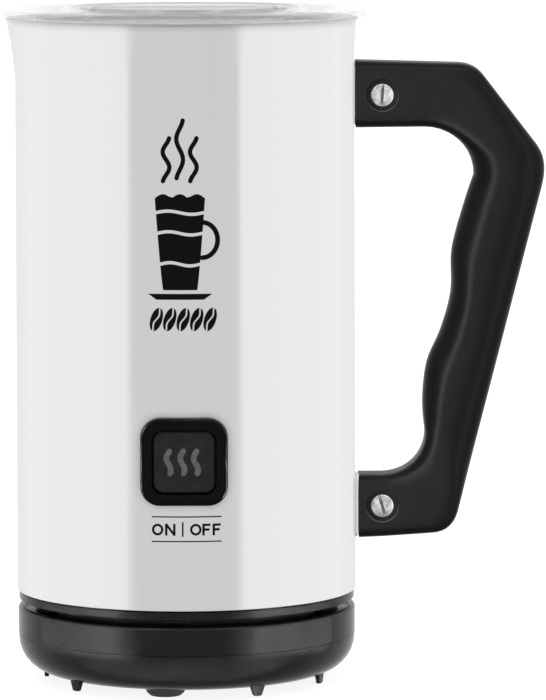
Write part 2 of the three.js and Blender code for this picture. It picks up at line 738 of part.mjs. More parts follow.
function buildHandle() {
  add("handle", handleBody(), "handle");
  const face = HANDLE_THICKNESS / 2;
  ["upper", "lower"].forEach((place, i) => {
    const z = HANDLE_SCREW_Z[i];
    add("handle_bracket_" + place, handleBracket(i), "steel");
    const head = crossRod(3.1, -face + 0.2, -face + RECESS_DEPTH - GAP, HANDLE_SCREW_X, z, 20);
    const shank = crossRod(1.5, -face + 1, 4, HANDLE_SCREW_X, z);
    const slot = block([-0.45, 0.45], [-face - 1, -face + 0.9], [-4, 4]);
    const turnedSlot = moved(slot.rotate([0, SCREW_SLOT_TILT[i], 0]), HANDLE_SCREW_X, 0, z);
    const screwBody = cut(join(head, shank), turnedSlot);
    add("handle_screw_" + place, screwBody, "chrome");
    const nutHead = crossRod(3.6, face - RECESS_DEPTH + GAP, face - 0.2, HANDLE_SCREW_X, z, 20);
    const barrel = crossRod(2.6, -3.5, face - 1, HANDLE_SCREW_X, z);
    const nut = cut(join(nutHead, barrel), crossRod(1.8, -4, 4.5, HANDLE_SCREW_X, z));
    add("handle_nut_" + place, nut, "chrome");
  });
}

// ---------------------------------------------------------------- lid

function lidBody() {
  const under = LID_TOP - LID_THICKNESS;
  const skirtBottom = under - SKIRT_DEPTH - GAP;
  const groove = [under - 5.8, under - 2.6];
  const body = turned([
    [0, under - 0.8],
    [29, under - 0.8],
    [31, under],
    [SKIRT_R - 1.8, under],
    [SKIRT_R - 1.8, skirtBottom],
    [SKIRT_R - 0.5, skirtBottom],
    [SKIRT_R, skirtBottom + 0.6],
    [SKIRT_R, groove[0]],
    [SKIRT_R - 1, groove[0]],
    [SKIRT_R - 1, groove[1]],
    [SKIRT_R, groove[1]],
    [SKIRT_R, under],
    [LID_R - 1, under],
    [LID_R - 0.9, under - 0.4],
    [LID_R, under + 0.2],
    [LID_R, LID_TOP - 0.9],
    [LID_R - 0.8, LID_TOP],
    [32, LID_TOP],
    [31.4, LID_TOP + 0.7],
    [29.7, LID_TOP + 0.7],
    [28, LID_TOP - 0.8],
    [0, LID_TOP - 0.8],
  ]);
  const bar = block([-26, 26], [-3.5, 3.5], [LID_TOP - 1, LID_TOP + 0.6]);
  return join(body, bar);
}

function buildLid() {
  const under = LID_TOP - LID_THICKNESS;
  add("lid", lidBody(), "clear");
  const gasket = ring(SKIRT_R - 1 + GAP, POT_R - GAP, under - 5.8 + GAP, under - 2.6 - GAP);
  add("lid_gasket", gasket, "silicone");
}

// ---------------------------------------------------------------- assembly

function buildJug() {
  add("steel_shell", steelShell(), "steel");
  add("inner_pot", innerPot(), "innerSteel");
  add("bottom_ring", bottomRing(), "black");
  add("bottom_cover", bottomCover(), "black");
  COVER_SCREW_AZIMUTHS.forEach((azimuth, i) => {
    const [x, y] = around(COVER_SCREW_CIRCLE, azimuth);
    const z0 = COVER_BOTTOM - GAP - 1.3;
    add("cover_screw_" + ["right", "rear", "left"][i], moved(screw(z0, 1.3, 8), x, y), "chrome");
  });
}

buildPowerBase();
buildJugPlug();
buildJug();
buildDrive();
buildRotor();
buildWhisk();
buildSwitch();
buildHandle();
buildLid();

// Centre the bounding box on X: the lid's flange is its low end and the handle its high end.
jugAxis.position.x = -(new THREE.Box3().setFromObject(root).getCenter(new THREE.Vector3()).x);

export default root;
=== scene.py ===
"""Milk frother: fine meshes, materials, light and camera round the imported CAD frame.

Shapes are worked out in millimetres from the jug's axis: +X towards the handle, -Y towards the
front, +Z up from the surface under the feet. piece() scales them to metres and shifts them to
their place in the row frame. An azimuth is an angle round the jug's axis, 0 at the front and 90
on the handle's side.
"""
import json
import math

import bmesh
import bpy
from mathutils import Matrix, Vector

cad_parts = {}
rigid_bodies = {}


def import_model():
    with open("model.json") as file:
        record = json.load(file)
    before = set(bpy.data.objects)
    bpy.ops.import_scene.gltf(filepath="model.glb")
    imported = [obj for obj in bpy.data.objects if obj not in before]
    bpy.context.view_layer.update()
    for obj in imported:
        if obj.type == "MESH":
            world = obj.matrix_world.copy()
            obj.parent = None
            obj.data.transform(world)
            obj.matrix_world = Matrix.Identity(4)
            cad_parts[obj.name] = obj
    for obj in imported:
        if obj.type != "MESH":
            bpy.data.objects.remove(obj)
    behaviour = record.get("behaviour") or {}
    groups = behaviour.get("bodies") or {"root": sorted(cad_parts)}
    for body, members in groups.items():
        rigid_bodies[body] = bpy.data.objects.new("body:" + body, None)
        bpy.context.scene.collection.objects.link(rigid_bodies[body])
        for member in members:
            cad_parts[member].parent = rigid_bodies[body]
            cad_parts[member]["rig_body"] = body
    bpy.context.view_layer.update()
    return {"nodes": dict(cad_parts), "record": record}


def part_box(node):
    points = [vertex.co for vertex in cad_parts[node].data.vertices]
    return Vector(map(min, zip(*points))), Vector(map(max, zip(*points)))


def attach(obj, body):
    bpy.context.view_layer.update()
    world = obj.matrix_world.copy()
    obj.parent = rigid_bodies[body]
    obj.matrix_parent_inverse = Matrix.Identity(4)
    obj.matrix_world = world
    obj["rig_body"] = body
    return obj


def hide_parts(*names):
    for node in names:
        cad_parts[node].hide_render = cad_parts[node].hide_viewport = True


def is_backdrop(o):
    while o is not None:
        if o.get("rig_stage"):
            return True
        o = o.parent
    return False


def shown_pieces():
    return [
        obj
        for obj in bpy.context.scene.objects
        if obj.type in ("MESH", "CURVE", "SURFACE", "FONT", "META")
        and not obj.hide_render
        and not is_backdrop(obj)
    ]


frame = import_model()

MM = 0.001
TINY = 1e-6
SEAM_GAP = 0.1  # between the base's two shells
TINY_STEP = 0.02  # keeps faces of joined bodies from lying in one plane
SLOT_OF = {part["node"]: part["material_slot"] for part in frame["record"]["subparts"]}
BASE_COLOUR = {m["slot"]: m["base_color"][:3] for m in frame["record"]["materials"]}
AXIS_X = sum(corner.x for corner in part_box("plug_housing")) / 2


def span(node, axis):
    """Lowest and highest place of a CAD node along an axis (0 to 2), in millimetres."""
    shift = AXIS_X if axis == 0 else 0
    return [(corner[axis] - shift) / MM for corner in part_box(node)]


def around(radius, azimuth):
    a = math.radians(azimuth)
    return radius * math.sin(a), -radius * math.cos(a)


# ---- driving dimensions, from the frame

GAP = 0.3
SHELL_BOTTOM, RIM = span("steel_shell", 2)
BASE_TOP = span("base_top_shell", 2)[1]
BASE_SEAM = span("base_bottom_shell", 2)[1] + GAP / 2
BASE_R = span("base_top_shell", 0)[1]
FOOT_HEIGHT = span("foot_front", 2)[1]
BASE_BOTTOM = FOOT_HEIGHT - 1 + GAP
RING_R = span("bottom_ring", 0)[1]
RING_INSIDE = RING_R - 2.1
RING_TOP = 33
LID_R = span("lid", 0)[1]
LID_TOP = span("lid", 2)[1] - 0.7
LID_UNDER = LID_TOP - 2.06
POST_TOP = span("whisk_bush", 2)[1] - 1.6
POT_FLOOR = POST_TOP - 13
SWITCH_Z = sum(span("switch_bezel", 2)) / 2
BEZEL_SIZE = span("switch_bezel", 0)[1] * 2
BEZEL_FRONT = -span("switch_bezel", 1)[0]
BUTTON_SIZE = span("switch_button", 0)[1] * 2
BUTTON_FRONT, BUTTON_BACK = [-y for y in span("switch_button", 1)]
HANDLE_HALF = span("handle", 1)[1]
TURRET_TOP = span("base_connector", 2)[1]
BOARD_Z, BOARD_TOP = span("control_board", 2)
MOTOR_BOTTOM = span("motor_body", 2)[0]
MOTOR_TOP = span("motor_body", 2)[1] - 2.3
HEATER_Z, HEATER_TOP = span("heater_plate", 2)

SHELL_R = 47.55  # at the steel shell's bottom edge
SHELL_R_TOP = 47.25  # below its flared rim
SHELL_WALL = 0.8
RIM_FLARE = 0.65
FLARE_HEIGHT = 11
SPOUT_REACH = 1.9
SPOUT_DROP = 17
SPOUT_HALF_ANGLE = 24
POT_R = 42.6
POST_R = 8.4
TURRET_R = 12
SKIRT_R = 41.7
SCREW_X = 54.9
SADDLE_R = 48.4  # outside of the handle brackets' saddles
SCREW_Z = [sum(span("handle_screw_" + place, 2)) / 2 for place in ("upper", "lower")]
SLOT_TILT = (4, -16)

FIRST_SUPPORT = -10
SUPPORTS = [FIRST_SUPPORT + 40 * i for i in range(9)]
FOOT_AZIMUTHS = SUPPORTS[::3]
TAB_AZIMUTHS = [a for a in SUPPORTS if a not in FOOT_AZIMUTHS]
BASE_SCREW_AZIMUTHS = [a + 60 for a in FOOT_AZIMUTHS]
COVER_SCREW_AZIMUTHS = [60, 180, 300]
FOOT_CIRCLE, TAB_CIRCLE, BASE_SCREW_CIRCLE, COVER_SCREW_CIRCLE = 32, 39.5, 29, 40.2
FOOT_PLACES = [around(FOOT_CIRCLE, a) for a in FOOT_AZIMUTHS]
BASE_SCREW_PLACES = [around(BASE_SCREW_CIRCLE, a) for a in BASE_SCREW_AZIMUTHS]
COVER_SCREW_PLACES = [around(COVER_SCREW_CIRCLE, a) for a in COVER_SCREW_AZIMUTHS]
# Bar magnets: distance from the axis, thickness, width and bottom.
WHISK_BAR = (12.2, 1.6, 6, 92.2)
DRIVE_BAR = (4.3, 2, 5, 88.8)
GLAND_Z = 8.8
GLAND_R = 4.2
CORD_BORE_R = 3.2
CORD_HOLE_SPAN = (38, 50)  # distances from the axis between which the cord's holes are cut
SHAFT_BORE_R = 1.45
SCREW_EYE_R = 2.9  # where the handle's screws pass through

SIDES = 192  # sides of the large turned pieces
MID_SIDES = 96
SMALL_SIDES = 48
ARC_STEP = math.radians(12)

# ---- outlines


def rounded(corners):
    """The closed outline through these corners, each rounded to the radius that it gives third."""
    outline = []
    for i, corner in enumerate(corners):
        here = Vector(corner[:2])
        radius = corner[2] if len(corner) > 2 else 0
        if not radius:
            outline.append(here)
            continue
        before = (Vector(corners[i - 1][:2]) - here).normalized()
        after = (Vector(corners[(i + 1) % len(corners)][:2]) - here).normalized()
        half = before.angle(after) / 2
        centre = here + (before + after).normalized() * radius / math.sin(half)
        start = here + before * radius / math.tan(half) - centre
        end = here + after * radius / math.tan(half) - centre
        sweep = math.copysign(math.pi - 2 * half, start.x * end.y - start.y * end.x)
        steps = max(2, math.ceil(abs(sweep) / ARC_STEP))
        outline += [centre + Matrix.Rotation(sweep * k / steps, 2) @ start for k in range(steps + 1)]
    return outline


def bezier(*controls, steps=10):
    """Points along a Bezier curve, without its first one."""
    points = []
    for k in range(1, steps + 1):
        t = k / steps
        level = [Vector(c) for c in controls]
        while len(level) > 1:
            level = [a.lerp(b, t) for a, b in zip(level, level[1:])]
        points.append(level[0])
    return points


def spline(knots, steps=6):
    """Points along a smooth curve through the knots, without its first one."""
    knots = [Vector(k) for k in knots]
    points = []
    for i in range(len(knots) - 1):
        p1, p2 = knots[i], knots[i + 1]
        p0 = knots[i - 1] if i else p1
        p3 = knots[i + 2] if i + 2 < len(knots) else p2
        for k in range(1, steps + 1):
            t = k / steps
            slope = (p2 - p0) + (2 * p0 - 5 * p1 + 4 * p2 - p3) * t + (3 * p1 - p0 - 3 * p2 + p3) * t * t
            points.append(p1 + slope * t / 2)
    return points


def rounded_box(width, depth, corner):
    x, y = width / 2, depth / 2
    return rounded([(-x, -y, corner), (x, -y, corner), (x, y, corner), (-x, y, corner)])


def rounded_square(size, corner):
    return rounded_box(size, size, corner)


def circle(radius):
    return [Vector((radius * math.cos(a), radius * math.sin(a))) for a in turns(SMALL_SIDES)]


def turns(sides):
    return [2 * math.pi * i / sides for i in range(sides)]


def inset(outline, distance):
    """An anticlockwise outline moved inwards."""
    shifted = []
    count = len(outline)
    for i, here in enumerate(outline):
        before = (here - outline[i - 1]).normalized()
        after = (outline[(i + 1) % count] - here).normalized()
        normals = Vector((-before.y, before.x)) + Vector((-after.y, after.x))
        shifted.append(here + normals * distance / max(0.3, normals.length_squared / 2))
    return shifted


def stroke_outline(path, width):
    """Outline of a stroke of that width along the path, with round ends."""
    half = width / 2
    left, right = [], []
    for i, here in enumerate(path):
        along = (path[min(i + 1, len(path) - 1)] - path[max(i - 1, 0)]).normalized()
        side = Vector((-along.y, along.x)) * half
        left.append(here + side)
        right.append(here - side)
    ends = []
    for tip, start in ((path[-1], right[-1]), (path[0], left[0])):
        ends.append([tip + Matrix.Rotation(math.pi * k / 8, 2) @ (start - tip) for k in range(1, 8)])
    return right + ends[0] + left[::-1] + ends[1]


# ---- bodies


def added(name, data):
    """A new object in the scene that holds a mesh, a camera or a light."""
    made = bpy.data.objects.new(name, data)
    bpy.context.scene.collection.objects.link(made)
    return made


def mesh_of(points, faces):
    """A mesh of one or more closed bodies, with every face turned outwards."""
    mesh = bpy.data.meshes.new("shape")
    mesh.from_pydata([tuple(p) for p in points], [], faces)
    work = bmesh.new()
    work.from_mesh(mesh)
    bmesh.ops.recalc_face_normals(work, faces=work.faces)
    work.to_mesh(mesh)
    work.free()
    return mesh


def turned(corners, sides=SIDES, warp=None):
    """A body turned round the axis, from (radius, height) corners rounded as rounded() does."""
    points, rows = [], []
    for radius, height in rounded(corners):
        start = len(points)
        if radius < TINY:
            points.append(Vector((0, 0, height)))
            rows.append([start] * sides)
            continue
        points += [Vector((radius * math.sin(a), -radius * math.cos(a), height)) for a in turns(sides)]
        rows.append([start + i for i in range(sides)])
    faces = []
    for low, high in zip(rows, rows[1:] + rows[:1]):
        for i in range(sides):
            j = (i + 1) % sides
            face = list(dict.fromkeys([low[i], low[j], high[j], high[i]]))
            if len(face) > 2:
                faces.append(face)
    return mesh_of([warp(p) for p in points] if warp else points, faces)


def loft(loops, closed=False):
    """A body through loops of equal length; its ends are capped, unless the last meets the first."""
    count = len(loops[0])
    points = [p for loop in loops for p in loop]
    faces = []
    pairs = len(loops) if closed else len(loops) - 1
    for k in range(pairs):
        low, high = k * count, (k + 1) % len(loops) * count
        for i in range(count):
            j = (i + 1) % count
            faces.append([low + i, low + j, high + j, high + i])
    if not closed:
        faces.append(list(range(count))[::-1])
        faces.append(list(range(len(points) - count, len(points))))
    return mesh_of(points, faces)


def slab(outline, low, high, edge=0.0, edge_low=None, steps=4):
    """A plate of that outline along Z, with its upper and lower edges rounded."""
    edge_low = edge if edge_low is None else edge_low
    loops = []
    for radius, end, side in ((edge_low, low, 1), (edge, high, -1)):
        rings = []
        for k in range(steps + 1 if radius else 1):
            a = math.pi / 2 * k / steps
            height = end + side * radius * (1 - math.cos(a))
            flat = inset(outline, radius * (1 - math.sin(a))) if radius else outline
            rings.append([Vector((p.x, p.y, height)) for p in flat])
        loops += rings if side > 0 else rings[::-1]
    return loft(loops)


def rod(radius, low, high, sides=SMALL_SIDES, edge=0.0):
    return turned([(0, low), (radius, low, edge), (radius, high, edge), (0, high)], sides)


def rods(places, radius, low, high):
    """An upright rod at each (x, y) place."""
    return [moved(rod(radius, low, high), *place) for place in places]


def ring(inner, outer, low, high, sides, edge=0.0):
    corners = [(inner, low, edge), (outer, low, edge), (outer, high, edge), (inner, high, edge)]
    return turned(corners, sides)


def block(x, y, z, edge=0.0):
    """A box between these pairs of places, with all its edges rounded."""
    outline = rounded_box(x[1] - x[0], y[1] - y[0], edge)
    return moved(slab(outline, z[0], z[1], edge * 0.98), (x[0] + x[1]) / 2, (y[0] + y[1]) / 2)


def wire(path, radius, ups, sides, closed=False):
    """A round wire along the path. ups are directions that its section's top points to."""
    loops = []
    last = len(path) - 1
    for i, here in enumerate(path):
        ahead = path[(i + 1) % len(path)] if closed else path[min(i + 1, last)]
        behind = path[i - 1] if closed or i else path[0]
        along = (ahead - behind).normalized()
        side = along.cross(ups[i]).normalized()
        top = side.cross(along)
        loops.append([here + radius * (math.cos(a) * side + math.sin(a) * top) for a in turns(sides)])
    return loft(loops, closed)


def moved(mesh, x=0.0, y=0.0, z=0.0):
    mesh.transform(Matrix.Translation((x, y, z)))
    return mesh


def spun(mesh, azimuth, axis="Z"):
    mesh.transform(Matrix.Rotation(math.radians(azimuth), 4, axis))
    return mesh


def to_front(mesh):
    """Stands a flat plate up: its outline's Y becomes Z, and its thickness points to the front."""
    return spun(mesh, 90, "X")


def merged(*meshes):
    """Several bodies that don't touch, as one mesh."""
    work = bmesh.new()
    for mesh in meshes:
        work.from_mesh(mesh)
        bpy.data.meshes.remove(mesh)
    whole = bpy.data.meshes.new("shape")
    work.to_mesh(whole)
    work.free()
    return whole


def boolean(body, operation, *tools):
    """The body joined to, cut by or cut down to each of the tools."""
    holder = added("body", body)
    for tool in tools:
        other = added("tool", tool)
        step = holder.modifiers.new("step", "BOOLEAN")
        step.operation = operation
        step.solver = "EXACT"
        step.object = other
        seen = holder.evaluated_get(bpy.context.evaluated_depsgraph_get())
        result = bpy.data.meshes.new_from_object(seen)
        holder.modifiers.clear()
        holder.data = result
        bpy.data.objects.remove(other)
    result = holder.data
    bpy.data.objects.remove(holder)
    return result


def joined(body, *tools):
    return boolean(body, "UNION", *tools)


def cut(body, *tools):
    return boolean(body, "DIFFERENCE", *tools)


def pull_spout(p):
    """Pulls a point of the rim outwards on the -X side, more towards the top."""
    angle = abs(math.atan2(p.y, -p.x)) / math.radians(SPOUT_HALF_ANGLE)
    height = (p.z - RIM + SPOUT_DROP) / SPOUT_DROP
    if angle >= 1 or height <= 0:
        return p
    reach = SPOUT_REACH * height * math.cos(angle * math.pi / 2) ** 2
    grow = 1 + reach / math.hypot(p.x, p.y)
    return Vector((p.x * grow, p.y * grow, p.z))


# ---- materials


def node(tree, kind, inputs=None, **settings):
    """Adds a shader node; an input is a number, a colour or another node's output."""
    made = tree.nodes.new("ShaderNode" + kind)
    for key, value in settings.items():
        setattr(made, key, value)
    for key, value in (inputs or {}).items():
        if isinstance(value, bpy.types.NodeSocket):
            tree.links.new(value, made.inputs[key])
        else:
            made.inputs[key].default_value = value
    return made


def noise(tree, size, stretch=(1, 1, 1)):
    """Noise with a grain of about this size in millimetres, longer along the stretched axes."""
    place = node(tree, "TexCoord").outputs["Object"]
    scale = [1 / (size * MM * s) for s in stretch]
    scaled = node(tree, "Mapping", {"Vector": place, "Scale": scale}).outputs["Vector"]
    return node(tree, "TexNoise", {"Vector": scaled, "Scale": 1.0, "Detail": 3.0}).outputs["Fac"]


def remap(tree, value, low, high, start=0.3, end=0.7):
    """The value, carried over from start..end to low..high. The defaults suit noise."""
    inputs = {"Value": value, "From Min": start, "From Max": end, "To Min": low, "To Max": high}
    return node(tree, "MapRange", inputs).outputs["Result"]


RELIEF_GAIN = 10  # heights are written as on the real surface, and shown this much stronger
METAL = {"Metallic": 1}

# Each finish: roughness range, spread of the tone and its size, grain size and height, and what
# else it has: how far the grain is stretched along each axis, the reach and the darkest tone of the
# shade painted into its hollows, and plain shader values. Lengths are millimetres.
FINISHES = {
    # shell_steel: shade is painted where other surfaces come close, under the lid's flange and beside the
    # handle's ends.
    "shell_steel": ((0.09, 0.13), (0.015, 9), (0.12, 0.00004),
        {**METAL, "stretch": (1, 1, 60), "crevice": (4, 0.4)}),
    "pot_steel": ((0.2, 0.3), (0.03, 5), (0.2, 0.0004), {**METAL, "stretch": (30, 30, 1)}),
    "bracket_steel": ((0.2, 0.32), (0.04, 3), (0.1, 0.0006), METAL),
    "element_steel": ((0.35, 0.5), (0.25, 4), (0.15, 0.002), METAL),
    "coil_steel": ((0.1, 0.2), (0.03, 2), (0.1, 0.0003), METAL),
    # chromed_steel: the wide tone spread paints dark patches that stand in for reflections of darker
    # surroundings (painted reflection), and shade is painted deep into the screws' slots.
    "chromed_steel": ((0.08, 0.2), (0.4, 1.6), (0.5, 0.004), {**METAL, "crevice": (1.4, 0.06)}),
    "screw_steel": ((0.3, 0.42), (0.08, 1), (0.1, 0.001), METAL),
    # base_plastic: shade is painted into the narrow gap between the jug and its base.
    "base_plastic": ((0.14, 0.2), (0.08, 6), (0.25, 0.0006),
        {"Specular IOR Level": 0.12, "crevice": (3, 0.3)}),
    "handle_plastic": ((0.3, 0.36), (0.1, 8), (0.22, 0.0014), {"Specular IOR Level": 0.06}),
    "gloss_black": ((0.1, 0.15), (0.05, 4), (0.6, 0.0004), {"Specular IOR Level": 0.06}),
    "foot_rubber": ((0.5, 0.62), (0.1, 2), (0.2, 0.003), {"Specular IOR Level": 0.25}),
    "button_rubber": ((0.42, 0.55), (0.3, 1.6), (0.3, 0.006), {"Specular IOR Level": 0.08}),
    "icon_grey": ((0.35, 0.45), (0.25, 1.2), (0.3, 0.002), {"Specular IOR Level": 0.3}),
    "silicone": ((0.4, 0.5), (0.03, 3), (0.3, 0.002), {"Subsurface Weight": 0.3}),
    "whisk_plastic": ((0.3, 0.4), (0.08, 4), (0.25, 0.002), {}),
    "nylon": ((0.4, 0.55), (0.05, 4), (0.3, 0.003), {"Subsurface Weight": 0.1}),
    "led_lens": ((0.05, 0.1), (0.02, 1), (0.3, 0.0005), {"Transmission Weight": 0.8}),
    "component_black": ((0.35, 0.5), (0.12, 3), (0.25, 0.004), {}),
    "circuit_board": ((0.3, 0.4), (0.35, 1.2), (0.5, 0.01), {}),
    "contact_brass": ((0.18, 0.32), (0.08, 2), (0.12, 0.0008), METAL),
    "magnet_metal": ((0.15, 0.25), (0.05, 1.5), (0.15, 0.0008), METAL),
    "aluminium": ((0.3, 0.45), (0.05, 5), (0.15, 0.002), {**METAL, "stretch": (12, 12, 1)}),
    "clear_plastic": ((0.03, 0.06), (0.01, 8), (2.5, 0.0008),
        {"Transmission Weight": 1.0, "IOR": 1.49, "Alpha": 0.28}),
}
made_finishes = {}


def new_material(name):
    material = bpy.data.materials.new(name)
    material.use_nodes = True
    return material, material.node_tree, material.node_tree.nodes["Principled BSDF"]


def finish(slot):
    """The slot's material: its colour, roughness and surface relief wander as the real one's do.
    Some finishes also have shade painted into their hollows, and chrome's dark colour patches are painted
    reflection.
    """
    if slot in made_finishes:
        return made_finishes[slot]
    (low, high), (spread, patch), (size, height), extras = FINISHES[slot]
    material, tree, shader = new_material(slot)
    stretch = extras.get("stretch", (1, 1, 1))
    shades = [[c * (1 + side * spread) for c in BASE_COLOUR[slot]] + [1] for side in (-1, 1)]
    # Sockets 6 and 7 are the two colours.
    blend = {"Factor": remap(tree, noise(tree, patch, stretch), 0, 1), 6: shades[0], 7: shades[1]}
    shade = node(tree, "Mix", blend, data_type="RGBA").outputs[2]
    # Painted shade: the colour darkens where ambient occlusion finds other surfaces within the reach,
    # standing in for the shadow in crevices, gaps and under overhangs.
    if "crevice" in extras:
        reach, darkest_painted_shade = extras["crevice"]
        openness = node(tree, "AmbientOcclusion", {"Distance": reach * MM}).outputs["AO"]
        painted_shade = remap(tree, openness, darkest_painted_shade, 1, 0.35, 0.9)
        shade = node(tree, "VectorMath", {0: shade, 1: painted_shade}, operation="MULTIPLY").outputs[0]
    tree.links.new(shade, shader.inputs["Base Color"])
    tree.links.new(remap(tree, noise(tree, patch / 2, stretch), low, high), shader.inputs["Roughness"])
    relief = {"Height": noise(tree, size, stretch), "Distance": height * MM * RELIEF_GAIN, "Strength": 1.0}
    tree.links.new(node(tree, "Bump", relief).outputs["Normal"], shader.inputs["Normal"])
    for key, value in extras.items():
        if key in shader.inputs:
            shader.inputs[key].default_value = value
    made_finishes[slot] = material
    return material


# ---- pieces


def piece(name, mesh, body, slot, replaced=(), sharp=35):
    """Puts a finished mesh in its place in the row frame, as a piece of that body."""
    mesh.transform(Matrix.Translation((AXIS_X, 0, 0)) @ Matrix.Scale(MM, 4))
    mesh.shade_smooth()
    mesh.set_sharp_from_angle(angle=math.radians(sharp))
    mesh.materials.clear()
    mesh.materials.append(finish(slot))
    made = added(name, mesh)
    even = made.modifiers.new("even shading", "WEIGHTED_NORMAL")
    even.keep_sharp = True
    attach(made, body)
    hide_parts(*replaced)
    return made


def remake(cad_node, mesh, sharp=35):
    """A fine mesh that stands for one CAD node, on the same body and with the same slot."""
    body = frame["nodes"][cad_node]["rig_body"]
    return piece(cad_node + "_fine", mesh, body, SLOT_OF[cad_node], (cad_node,), sharp)


# ---- power base


def support_tab(azimuth):
    """A tapered tab under the bottom shell, with a rounded tip."""
    corners = [(-1.15, 0.1, 0.8), (1.15, 0.1, 0.8), (2.3, 3, 1), (2.3, 5), (-2.3, 5), (-2.3, 3, 1)]
    tab = to_front(slab(rounded(corners), -0.65, 0.65, 0.3))
    return spun(moved(tab, 0, -TAB_CIRCLE), azimuth)


def screw_well():
    """Room for a screw's head and shank in the bottom shell."""
    return turned([
        (0, -1), (3.6, -1), (3.6, BASE_BOTTOM), (3.3, BASE_BOTTOM + 0.3),
        (3.3, 4.6), (1.8, 4.6), (1.8, 8), (0, 8),
    ], SMALL_SIDES)


def gland_tool(radius, y0, y1, top, edge=0.0):
    """The cord gland's outer shape: round below, with straight sides that reach up to the seam."""
    lower_half = [a for a in turns(SMALL_SIDES) if a >= math.pi]
    outline = [Vector((radius * math.cos(a), radius * math.sin(a))) for a in lower_half]
    outline += [Vector(p) for p in ((radius, 0), (radius, top - GLAND_Z), (-radius, top - GLAND_Z))]
    return moved(to_front(slab(outline, -y1, -y0, edge)), 0, 0, GLAND_Z)


def base_bottom_shell():
    outer = BASE_R - 0.1
    inner = outer - 2
    top = BASE_SEAM - SEAM_GAP / 2
    shell = turned([
        (0, BASE_BOTTOM), (outer, BASE_BOTTOM, 10), (outer, top, 0.08),
        (inner, top), (inner, BASE_BOTTOM + 2, 8), (0, BASE_BOTTOM + 2),
    ])
    shell = cut(shell, gland_tool(GLAND_R + GAP, *CORD_HOLE_SPAN, BASE_SEAM + 1))
    posts = rods(BASE_SCREW_PLACES, 5.5, BASE_BOTTOM + 1, 6.4)
    shell = joined(shell, merged(*posts), merged(*[support_tab(a) for a in TAB_AZIMUTHS]))
    pockets = rods(FOOT_PLACES, 6.05, 0, BASE_BOTTOM + 1)
    wells = [moved(screw_well(), *place) for place in BASE_SCREW_PLACES]
    return cut(shell, merged(*pockets, *wells))


def base_top_shell():
    hole = TURRET_R + 0.5
    inner = BASE_R - 2
    edge = BASE_SEAM + SEAM_GAP / 2
    plate = BASE_TOP - 1
    shell = turned([
        (hole, BASE_TOP - 2), (inner, BASE_TOP - 2, 0.6), (inner, edge), (BASE_R, edge, 0.08),
        (BASE_R, BASE_TOP, 0.9), (BASE_R - 1.9, BASE_TOP, 0.4), (BASE_R - 2.3, plate, 0.3),
        (hole + 6.4, plate, 0.3), (hole + 6, BASE_TOP, 0.3), (hole, BASE_TOP, 0.3),
    ])
    posts = rods(BASE_SCREW_PLACES, 3.6, 6.7, BASE_TOP - 1)
    bores = rods(BASE_SCREW_PLACES, 1.7, 6, 15)
    return cut(joined(shell, merged(*posts)), merged(*bores))


def rubber_foot():
    top = BASE_BOTTOM + 1 - GAP
    return turned([
        (0, 0.35), (2.0, 0.35, 0.2), (2.3, 0, 0.15), (4.2, 0, 0.6), (5.2, 0.9, 0.8),
        (5.75, 2.1, 0.4), (5.75, top, 0.2), (0, top),
    ], MID_SIDES)


def pan_screw(low, head_height, length):
    """A pan-headed screw pointing up, its head slotted and its shank threaded."""
    head_r, shank_r = 2.9, 1.4
    z = low + head_height
    shoulder = low + head_height * 0.6
    profile = [(0, low), (head_r * 0.6, low, 0.4), (head_r, shoulder, 0.5), (head_r, z, 0.1), (shank_r, z)]
    pitch = 0.7
    for k in range(int((length - head_height - 1) / pitch)):
        foot = z + 0.5 + k * pitch
        profile += [(shank_r, foot), (shank_r + 0.2, foot + pitch / 2)]
    profile += [(shank_r, low + length - 0.5), (shank_r * 0.5, low + length), (0, low + length)]
    slot = block((-head_r * 1.1, head_r * 1.1), (-0.4, 0.4), (low - 1, low + 0.7))
    return cut(turned(profile, SMALL_SIDES), slot)


def build_screws(prefix, names, azimuths, places, low, head_height, length, turn):
    """Pan screws at these places, each with its slot turned its own way."""
    for name, azimuth, place in zip(names, azimuths, places):
        screw = spun(pan_screw(low, head_height, length), azimuth * turn)
        remake(prefix + name, moved(screw, *place))


def build_power_base():
    remake("base_bottom_shell", base_bottom_shell())
    remake("base_top_shell", base_top_shell())
    for name, place in zip(("front", "right", "left"), FOOT_PLACES):
        remake("foot_" + name, moved(rubber_foot(), *place))
    names = ("front", "rear", "left")
    build_screws("base_screw_", names, BASE_SCREW_AZIMUTHS, BASE_SCREW_PLACES, 2.9, 1.4, 11, 3)
    near, far = CORD_HOLE_SPAN
    bore = moved(to_front(slab(circle(CORD_BORE_R), -far, -near)), 0, 0, GLAND_Z)
    remake("cord_gland", cut(gland_tool(GLAND_R, 41, 47.2, BASE_SEAM - GAP, 0.5), bore))
    low, high = BASE_TOP - 4.8, BASE_TOP - 2.3
    turret = turned([
        (0, low), (15, low, 0.3), (15, high, 0.3), (TURRET_R, high),
        (TURRET_R, TURRET_TOP, 0.6), (0, TURRET_TOP),
    ], MID_SIDES)
    grooves = merged(
        ring(8, 10.6, 20, TURRET_TOP + 1, MID_SIDES),
        ring(3.9, 6.5, 20, TURRET_TOP + 1, MID_SIDES),
        rod(2.4, 18, TURRET_TOP + 1),
    )
    remake("base_connector", cut(turret, grooves))
    contact_low, contact_high = 20.3, 25
    remake("base_contact_live", ring(9.9, 10.3, contact_low, contact_high, MID_SIDES, 0.12))
    remake("base_contact_neutral", ring(5.8, 6.2, contact_low, contact_high, MID_SIDES, 0.12))
    terminals = block((-23, -9), (17, 25), (4.8, 13.5), 0.5)
    holes = rods([(-20.3 + 4.3 * k, 21) for k in range(3)], 1.3, 10, 14.5)
    remake("base_terminal_block", cut(terminals, merged(*holes)))


# ---- jug: connector, shell, pot, underside


